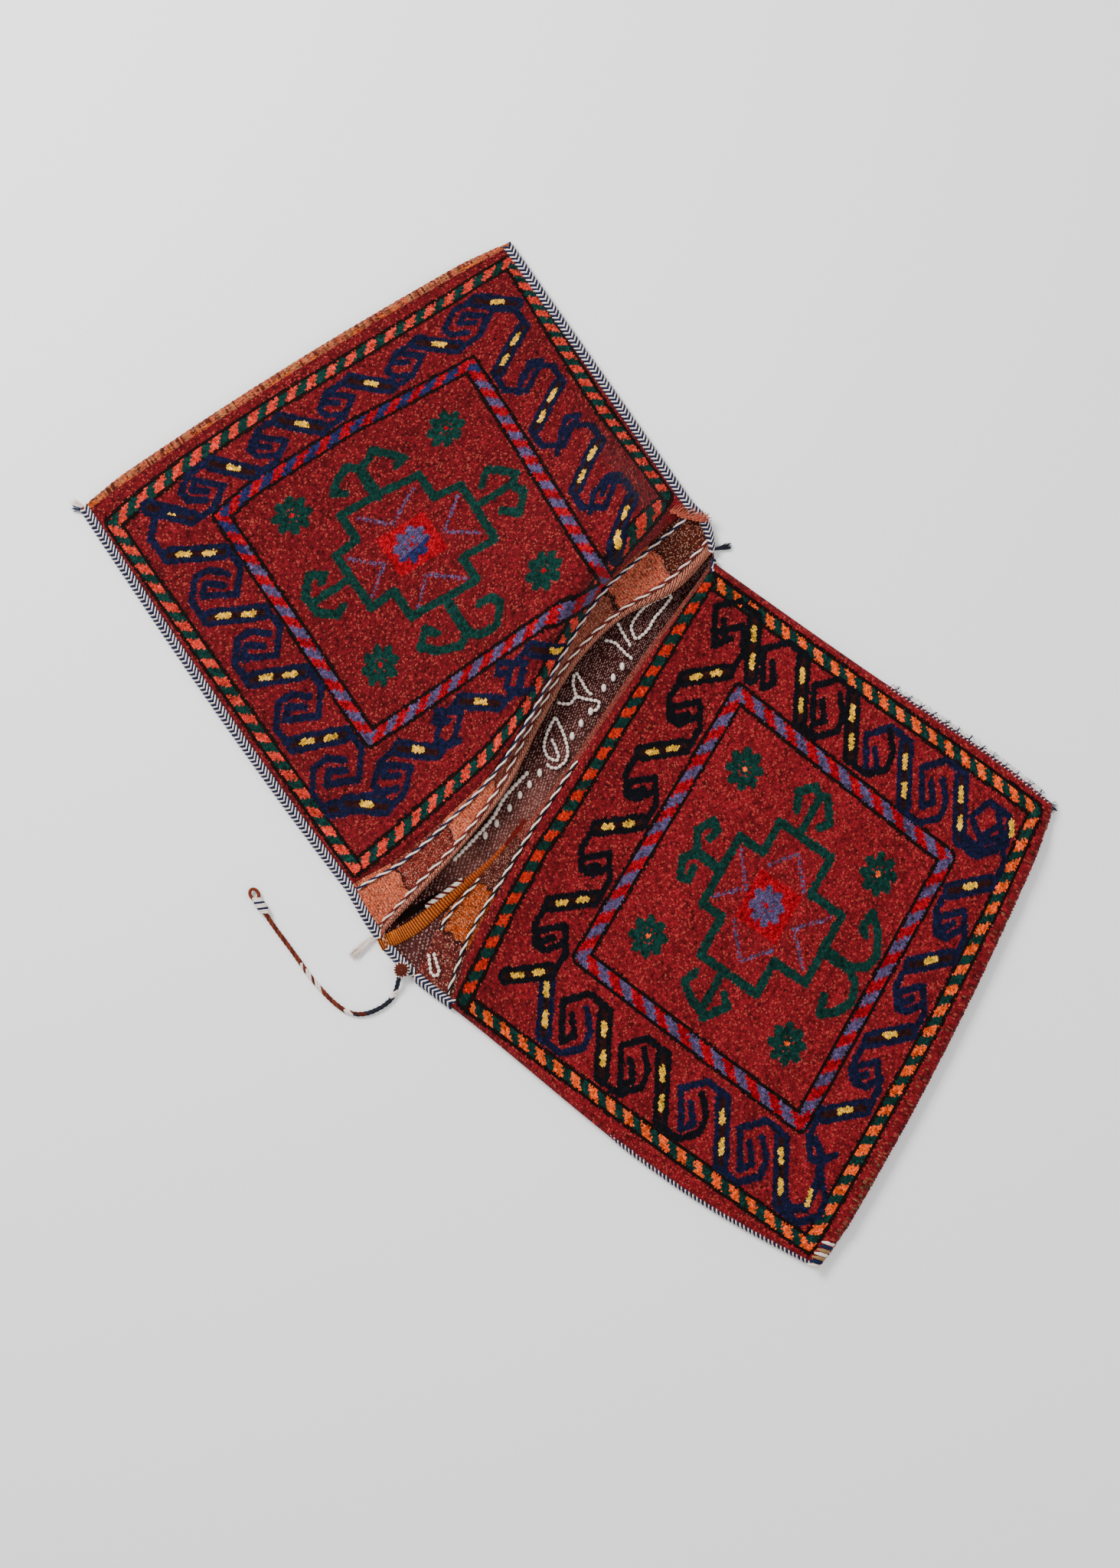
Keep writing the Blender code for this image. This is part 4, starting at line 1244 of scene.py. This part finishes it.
def twined_cords(ground, materials):
    """The two-ply cords along the edges of each lip strip: white with navy, maroon or black."""
    ends = (TWINED_ENDS[0], B_PILE_CORD_END)
    cords = (
        ("twined_cord_a_pile", lambda u: lip_a(u, 0.10), TWINED_ENDS, Vector((0.45, 0.0, 1.0)), (0, 1)),
        ("twined_cord_a_hem", lambda u: lip_a(u, 1.0), TWINED_ENDS, Vector((0.3, 0.0, 1.0)), (0, 2)),
        ("twined_cord_b_pile", lambda u: lip_b(u, 0.15), ends, UP, (0, 3)),
        ("twined_cord_b_hem", lambda u: lip_b(u, 0.92), B_HEM_CORD_ENDS, UP, (0, 3)),
    )
    for name, line, (first, last), way, numbers in cords:
        shares = np.linspace(first, last, max(8, round((last - first) * 60)))
        starts = [line(share) + way * GROUND * 0.5 + SHIFT for share in shares]
        seated = [clear_of(ground, start, TWINED_DIAMETER * 0.45, way.normalized()) for start in starts]
        points = smooth_route(seated, round(runs_along(seated)[-1] / TWINED_STEP))
        strands = twist(points, TWINED_STRAND, TWINED_REACH, TWINED_LAY, numbers, 0.1)
        finish_piece(yarns(name + "_strands", strands, materials, 8), [name])


def overcast(name, plan, u, start, end, layers, materials, inside=lambda reach: 0.0):
    """Overcast stitches around a selvedge, each bent in the middle so that the row reads as herringbone.

    inside gives how far the stitches lie back from the edge, where the pile hangs over them.
    """
    top = (SEAM_FACE + GROUND if layers == 2 else SEAM_BACK) + CLEAR
    section = (
        (-0.0082, top + 0.0002, -1.0, 0.5),
        (-0.0055, top + 0.0012, -0.3, 1.0),
        (-0.0026, top + 0.0011, 0.5, 1.0),
        (0.0004, top - 0.0002, -0.1, 1.0),
        (0.0021, top / 2 + 0.0006, -0.6, 0.9),
        (0.0003, 0.0012, -0.9, 0.6),
    )
    outwards = (2 * u - 1) / WIDTH
    count = round(abs(end - start) / STITCH_PITCH)
    lines = []
    for k in range(count):
        reach = mix(start, end, (k + 0.5 + random.uniform(-0.12, 0.12)) / count)
        points = []
        for out, height, lean, _ in section:
            place = plan(u + (out - inside(reach)) * outwards, reach + lean * STITCH_LEAN)
            points.append(Vector((*place, height)) + SHIFT)
        radii = [STITCH_RADII[k % 2] * share * random.uniform(0.88, 1.1) for _, _, _, share in section]
        lines.append((points, radii, k % 2))
    finish_piece(yarns(name + "_stitches", lines, materials), [name])


def tucked(length, least, start):
    """How far a seam of pouch B lies back under the pile, less from a share start of its length on."""

    def inside(reach):
        return mix(SEAM_TUCK, least, smooth((-reach / length - start) / 0.1)) if reach < 0 else 0.0

    return inside


def bindings(materials):
    """The overcast seams of the pouches and the overcast left selvedge of the bridge."""
    lip_left_a, lip_right_a = A_HEM_REACH[0], A_HEM_REACH[-1]
    lip_left_b, lip_right_b = B_PILE_REACH[0] + B_LIP[0], B_PILE_REACH[-1] + B_LIP[-1]
    bridge_start, bridge_end = lip_left_a + BRIDGE_SEAM_GAP, span(0.0) - lip_left_b - BRIDGE_SEAM_GAP
    left, right = tucked(B_LEFT, 0.0012, 0.40), tucked(B_RIGHT, 0.0018, 0.45)
    overcast("binding_a_left", plan_a, 0.0, -A_LEFT, lip_left_a, 2, materials)
    overcast("binding_bridge_left", plan_a, 0.0, bridge_start, bridge_end, 1, materials)
    overcast("binding_b_left", plan_b, 0.0, lip_left_b, -B_LEFT, 2, materials, left)
    overcast("binding_b_right", plan_b, 1.0, -B_RIGHT, lip_right_b, 2, materials, right)
    overcast("binding_a_right", plan_a, 1.0, lip_right_a, -A_RIGHT, 2, materials)


def chain(points, pitch, size):
    """Chain stitches along a line, each a plump strand that leans to one side or the other in turn."""
    count = max(2, round(runs_along(points)[-1] / pitch))
    even = smooth_route(points, count * 4 + 1)
    frames = frames_along(even)
    lines = []
    for link in range(count):
        way = 1 if link % 2 else -1
        line, radii = [], []
        for step, out, rise, share in CHAIN_LINK:
            k = link * 4 + step
            line.append(even[k] + frames[k][1] * out * way * size + UP * (rise * size))
            radii.append(size * 0.95 * share)
        lines.append((line, radii, 0))
    return lines


def loop_line(ground, root, bight, width, start):
    """A cord doubled back on itself in a drop shape, lying on the bridge and the cloth beside it."""
    foot, head = bridge(*root), bridge(*bight)
    length = (head - foot).length
    forward = (head - foot) / length
    side = Vector((-forward.y, forward.x))
    neck = LOOP_DIAMETER / 2 + 3 * CLEAR
    half = (width - LOOP_DIAMETER) / 2
    points = []
    for i in range(15):
        angle = pi * (i / 7 - 1)
        if abs(angle) < pi / 2:
            along, out = length - half * (1 - cos(angle)), half * abs(sin(angle))
        else:
            share = (abs(angle) - pi / 2) / (pi / 2)
            along, out = mix(length - half, 0.0, share), mix(half, neck, smooth(share))
        place = foot + forward * along + side * (out if angle >= 0 else -out) + SHIFT.xy
        points.append(lie_on(ground, place, LOOP_DIAMETER * 0.42, start))
    return points


def root_dots(ground):
    """The row of plump white stitches beside the loops."""
    way = Matrix.Rotation(PHOTO_TURN, 2) @ Vector((0.0, 1.0))
    lines = []
    for u, t in ROOT_DOTS:
        middle = lie_on(ground, bridge(u, t) + SHIFT.xy, DOT_RADII[1], UNDER_LIP)
        lines.append(([middle + Vector((*(way * step), 0.0)) for step in DOT_STEPS], list(DOT_RADII), 0))
    return lines


def laid_line(ground, shares, start):
    """A line over the cloths through places on the bridge, without dips between the high places."""
    flat_line = smooth_route([(*(bridge(u, t) + SHIFT.xy), 0.0) for u, t in shares], 3 * len(shares))
    points = [lie_on(ground, point.xy, LOOP_DIAMETER * 0.42, start) for point in flat_line]
    for _ in range(6):
        for before, point, after in zip(points, points[1:], points[2:]):
            point.z = max(point.z, (before.z + after.z) / 2)
    return points


def rope(points, numbers):
    """A three-strand rope along a line. numbers are the strands' materials."""
    fine = smooth_route(points, round(runs_along(points)[-1] / ROPE_STEP))
    return twist(fine, ROPE_STRAND, ROPE_REACH, ROPE_LAY, numbers, 0.08)


def closure_loops(ground, materials):
    """Leaves and arms of white chain stitches, the dots beside them, two ropes and a small loop."""
    groups = [[] for _ in range(6)]
    for number, shares in LEAF_CHAINS:
        groups[number - 1] += chain(laid_line(ground, shares, UNDER_LIP), CHAIN_PITCH, LOOP_DIAMETER / 2)
    groups[3] += root_dots(ground)
    groups.append(chain(laid_line(ground, HEM_ROPE, OVER_ALL), HEM_CHAIN_PITCH, HEM_CHAIN_SIZE))
    groups.append(rope(laid_line(ground, BRIDGE_ROPE, OVER_ALL), (0, 1, 0)))
    low_loop = loop_line(ground, LOW_LOOP_ROOT, LOW_LOOP_BIGHT, LOW_LOOP_WIDTH, OVER_ALL)
    groups.append(chain(low_loop, CHAIN_PITCH, LOOP_DIAMETER / 2))
    for number, lines in enumerate(groups, start=1):
        node = f"closure_loop_{number}"
        finish_piece(yarns(node + "_chain", lines, materials, 8), [node])


def knot_pad(materials):
    """A coiled button of brown-red wool with white stitches over its rim."""
    low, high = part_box("knot_pad")
    middle = Vector(((low.x + high.x) / 2, (low.y + high.y) / 2, low.z))
    rim = (high.x - low.x) / 2 - 0.0013
    coil = []
    for k in range(PAD_STEPS):
        share = min(k / PAD_RIM_STEP, 1.0)
        angle = 2 * pi * PAD_TURNS * k / PAD_RIM_STEP
        sink = max(0, k - PAD_RIM_STEP) / (PAD_STEPS - 1 - PAD_RIM_STEP) * 0.0035
        height = mix(0.0066, 0.0048, share**2) - sink
        out = Vector((cos(angle), sin(angle), 0.0)) * mix(0.0004, rim, share)
        coil.append(middle + out + UP * height)
    lines = [(coil, [0.00125 + 0.0002 * sin(k * 1.9) for k in range(PAD_STEPS)], 0)]
    for k in range(PAD_STITCHES):
        angle = 2 * pi * (k + random.uniform(-0.2, 0.2)) / PAD_STITCHES
        way = Vector((cos(angle), sin(angle), 0.0))
        line = [middle + way * (rim + out) + UP * height for out, height, _ in PAD_STITCH]
        lines.append((line, [radius for _, _, radius in PAD_STITCH], 1))
    finish_piece(yarns("knot_pad_coil", lines, materials, 8), ["knot_pad"])


def end_knot(materials):
    """The knot on the tie cord's end: rust wool in a loop, wrapped with white and dark yarn."""
    start, before = Vector(TIE_ROUTE[-1]) + SHIFT, Vector(TIE_ROUTE[-2]) + SHIFT
    ahead = Vector((*(start - before).xy, 0.0)).normalized()
    side = Vector((-ahead.y, ahead.x, 0.0))
    lines = []
    for k, number in enumerate(WRAP_YARNS):
        at = 0.002 + k * 0.0024
        ring = 0.0036 + 0.0011 * sin(pi * k / 7)
        line = []
        for step in range(13):
            angle = 2 * pi * step / 12
            place = start + ahead * (at + 0.0022 * cos(angle)) + side * cos(angle) * ring
            line.append(place + UP * (sin(angle) * ring - 0.0004))
        lines.append((line, [0.0014] * 13, number))
    loop = []
    for step in range(25):
        angle = 2 * pi * step / 24
        loop.append(start + ahead * (0.0245 - 0.006 * cos(angle)) + side * 0.0045 * sin(angle) - UP * 0.0012)
    lines.append((loop, [0.0019] * 25, 0))
    core = [start + ahead * at - UP * 0.0008 for at in (0.0, 0.005, 0.010, 0.015, 0.020)]
    lines.append((core, [0.0028, 0.0036, 0.004, 0.0036, 0.0026], 0))
    knot = yarns("tie_cord_end_knot", lines, materials, 8)
    return finish_piece(knot, ["tie_cord_knot"])


def brush(root, way, length, width, count, bend, number, floor=0.0):
    """Loose fibres that spread from one place and droop to what lies under them."""
    beside = Vector((-way.y, way.x, 0.0))
    lines = []
    for _ in range(count):
        first, spread = random.uniform(-0.5, 0.5, 2)
        own = length * random.uniform(0.6, 1.0)
        low = floor + random.uniform(0.0006, 0.0045)
        line = []
        for step in range(7):
            share = step / 6
            out = way * own * share + beside * (first * width * 0.35 + spread * width * share)
            place = root + out + beside * bend * share**2
            wave = 0.0006 * sin(share * 9 + first * 9)
            line.append(Vector((place.x, place.y, mix(root.z, low, smooth(share)) + wave)))
        radius = random.uniform(0.0003, 0.0005)
        lines.append((line, [radius] * 6 + [radius / 2], number))
    return lines


def tuft_root(u):
    """Where the loose yarns leave the seam at the end of lip A, and which way they go."""
    root = plan_a(u, TUFT_REACH)
    along = (plan_a(u, TUFT_REACH + CLEAR) - root).normalized()
    way = Vector((-along.y, along.x, 0.0)) * (2 * u - 1)
    return Vector((*root, 0.006)) + SHIFT, way


def yarn_tufts(white, dark):
    """The loose yarn ends at the two ends of lip A."""
    root, _ = tuft_root(0.0)
    lines = brush(root, WHITE_TUFT_WAY, 0.037, 0.009, 90, 0.003, 0)
    finish_piece(yarns("white_yarn_brush", lines, [white], 4), ["white_yarn_tuft"])
    root, way = tuft_root(1.0)
    lines = brush(root, way, 0.021, 0.007, 44, 0.002, 0)
    finish_piece(yarns("dark_yarn_brush", lines, [dark], 4), ["dark_yarn_tuft"])


def floor_and_lights():
    """A pale floor, one wide soft light from the photograph's upper left and a paler sky all round."""
    shape = bmesh.new()
    bmesh.ops.create_grid(shape, x_segments=1, y_segments=1, size=FLOOR_HALF)
    mesh = bpy.data.meshes.new("floor")
    shape.to_mesh(mesh)
    shape.free()
    paper = bpy.data.materials.new("matt white paper sweep")
    paper.use_nodes = True
    shader = paper.node_tree.nodes["Principled BSDF"]
    shader.inputs["Base Color"].default_value = (FLOOR_WHITE, FLOOR_WHITE, FLOOR_WHITE, 1.0)
    shader.inputs["Roughness"].default_value = 0.9
    mesh.materials.append(paper)
    floor = bpy.data.objects.new("floor", mesh)
    bpy.context.scene.collection.objects.link(floor)
    turned = Matrix.Rotation(PHOTO_TURN, 3, "Z")
    for name, where, size, watts in LAMPS:
        data = bpy.data.lights.new(name, "AREA")
        data.shape = "DISK"
        data.size = size
        data.energy = watts
        lamp = bpy.data.objects.new(name, data)
        lamp.location = turned @ Vector(where)
        lamp.rotation_euler = (-lamp.location).to_track_quat("-Z", "Y").to_euler()
        bpy.context.scene.collection.objects.link(lamp)
    world = bpy.data.worlds.new("studio")
    world.use_nodes = True
    world.node_tree.nodes["Background"].inputs["Color"].default_value = (1.0, 1.0, 1.0, 1.0)
    world.node_tree.nodes["Background"].inputs["Strength"].default_value = SKY_STRENGTH
    bpy.context.scene.world = world


def dyed(strands, stretches):
    """Strands cut where their colours change. A stretch is (where it starts, the strands' materials)."""
    pieces = []
    for k, (points, radii, _) in enumerate(strands):
        cuts = [round(share * (len(points) - 1)) for share, _ in stretches] + [len(points) - 1]
        for (_, numbers), first, last in zip(stretches, cuts, cuts[1:]):
            pieces.append((points[first : last + 1], radii[first : last + 1], numbers[k]))
    return pieces


def tie_cord(materials):
    """A braid that lies on the floor: charcoal by the pad, then rust and brown with undyed patches."""
    route = [point + SHIFT for point in smooth_route(TIE_ROUTE, 180)]
    strand = TIE_DIAMETER * BRAID_STRAND_SHARE
    strands = twist(route, strand, TIE_DIAMETER / 2 - strand, BRAID_LAY, (0, 0, 0), 0.0)
    thing = yarns("tie_cord_braid", dyed(strands, TIE_STRETCHES), materials)
    finish_piece(thing, ["tie_cord"])
    float(runs_along(route)[-1])


def edge_place(plan, u, reach, height):
    return Vector((*plan(u, reach), height)) + SHIFT


def loose_ends(pile_yarn, white, navy, tan):
    """Frayed pile beside the mouth, the wraps and threads on the pouches' corners and the hem's fringe."""
    frayed = []
    for k in range(9):
        root = edge_place(plan_a, 0.955 + 0.004 * k, -0.012 + 0.004 * k, 0.020)
        frayed += brush(root, Vector((0.55, 0.83, 0.0)), 0.016, 0.010, 9, 0.002, 0, 0.012)
    finish_piece(yarns("frayed_pile", frayed, [pile_yarn], 4), ["woven_strip"])
    roots = [
        (plan_a, 0.004, -A_LEFT, 0.006, (-0.80, 0.1), (0.020, 0.010, 10, 0.004, 0)),
        (plan_a, 0.0, -A_LEFT, 0.006, (-0.7, -0.5), (0.016, 0.008, 9, 0.0, 1)),
        (plan_b, 0.99, -B_RIGHT, 0.008, (0.8, 0.6), (0.013, 0.012, 16, 0.0, 1)),
    ]
    for k in range(26):
        reach = -B_RIGHT * (0.52 + 0.018 * k)
        roots.append((plan_b, 1.0, reach, 0.008, (0.25, 0.95), (0.0085, 0.006, 3, 0.0, k % 2)))
    roots.append((plan_a, 0.02, 0.060, 0.016, (0.2, -0.9), (0.014, 0.010, 14, 0.0, 2)))
    threads = []
    for plan, u, reach, height, way, fibres in roots:
        threads += brush(edge_place(plan, u, reach, height), Vector((*way, 0.0)), *fibres)
    thing = yarns("corner_threads", threads, [white, navy, pile_yarn], 4)
    finish_piece(thing, ["binding_a_left"])
    wraps = []
    for k in range(7):
        u, reach = 0.002 + 0.0085 * k, -B_LEFT - 0.001
        tip = [edge_place(plan_b, u + out, reach + inwards, high) for out, inwards, high in CORNER_WRAP]
        wraps.append((tip, [0.0009, 0.0021, 0.0022, 0.0021, 0.0010], (0, 1, 2, 0, 2, 1, 0)[k]))
    finish_piece(yarns("corner_wraps", wraps, [white, navy, tan], 8), ["binding_b_left"])


def yarn(name, colour, tones=(0.6, 1.4)):
    return wool(name, YARN_FIBRE, YARN_FUZZ, tones, colour)


def dress_bag():
    """Gives every finish its look, then lays the pieces from the bottom up."""
    # Dull deep wool with dark gaps between the knots and paler tips.
    pile = wool("knotted wool pile", 0.0014, 0.0011, (0.3, 1.5))
    # Denser and smoother, with the fine grain of packed weft.
    weave = wool("weft-faced wool flat weave", 0.0010, 0.0004, (0.55, 1.4))
    # Undyed and slightly fuzzy: the brightest thing on the bag.
    white = yarn("off-white cotton yarn", "#DDCDC2", (0.75, 1.2))
    # Deep blue that reads almost black beside the white stitches.
    navy = yarn("dark blue wool yarn", "#141A38")
    # Dull red, a little cooler than the cloth.
    maroon = yarn("maroon wool yarn", "#5A1A18")
    # A soft black with no shine.
    black = yarn("near-black wool yarn", "#141218")
    # Warm brown-red, the lightest of the tie cord's dyes.
    rust = yarn("rust-brown wool yarn", "#642A1A", (0.55, 1.4))
    # Bluish dark grey.
    charcoal = yarn("charcoal wool yarn", "#1C1D26")
    # Dark red-brown.
    brown = yarn("dark brown wool yarn", "#4A1B12")
    # Faded pink-orange tips of worn pile.
    salmon = yarn("salmon frayed wool", "#A8503C", (0.6, 1.3))
    # Light brown, between the white and the rust.
    tan = yarn("tan wool yarn", "#8E6A46", (0.6, 1.3))
    knot = end_knot([rust, white, navy])
    tie_cord([rust, white, brown, charcoal])
    laid_weave("back_weave_a", (-BACK_A_START, 0.0), (24, 24), BACK_CUTS, back_dye, weave)
    laid_weave("back_weave_b", (1.0, 2.0), (24, 24), BACK_CUTS, back_dye, weave)
    things = [laid_weave("bridge_weave", (0.0, 1.0), (64, 13), FINE_CUTS, bridge_dye, weave)]
    things += [pile_face_a(pile), pile_face_b(pile), lip_strip_a(weave), lip_strip_b(weave)]
    kilim_end(weave)
    gathered_band(weave)
    ground = seat(things)
    twined_cords(ground, [white, navy, maroon, black])
    bindings([white, navy])
    closure_loops(ground, [white, maroon])
    knot_pad([brown, white])
    yarn_tufts(white, charcoal)
    loose_ends(salmon, white, navy, tan)


camera()
dress_bag()
floor_and_lights()
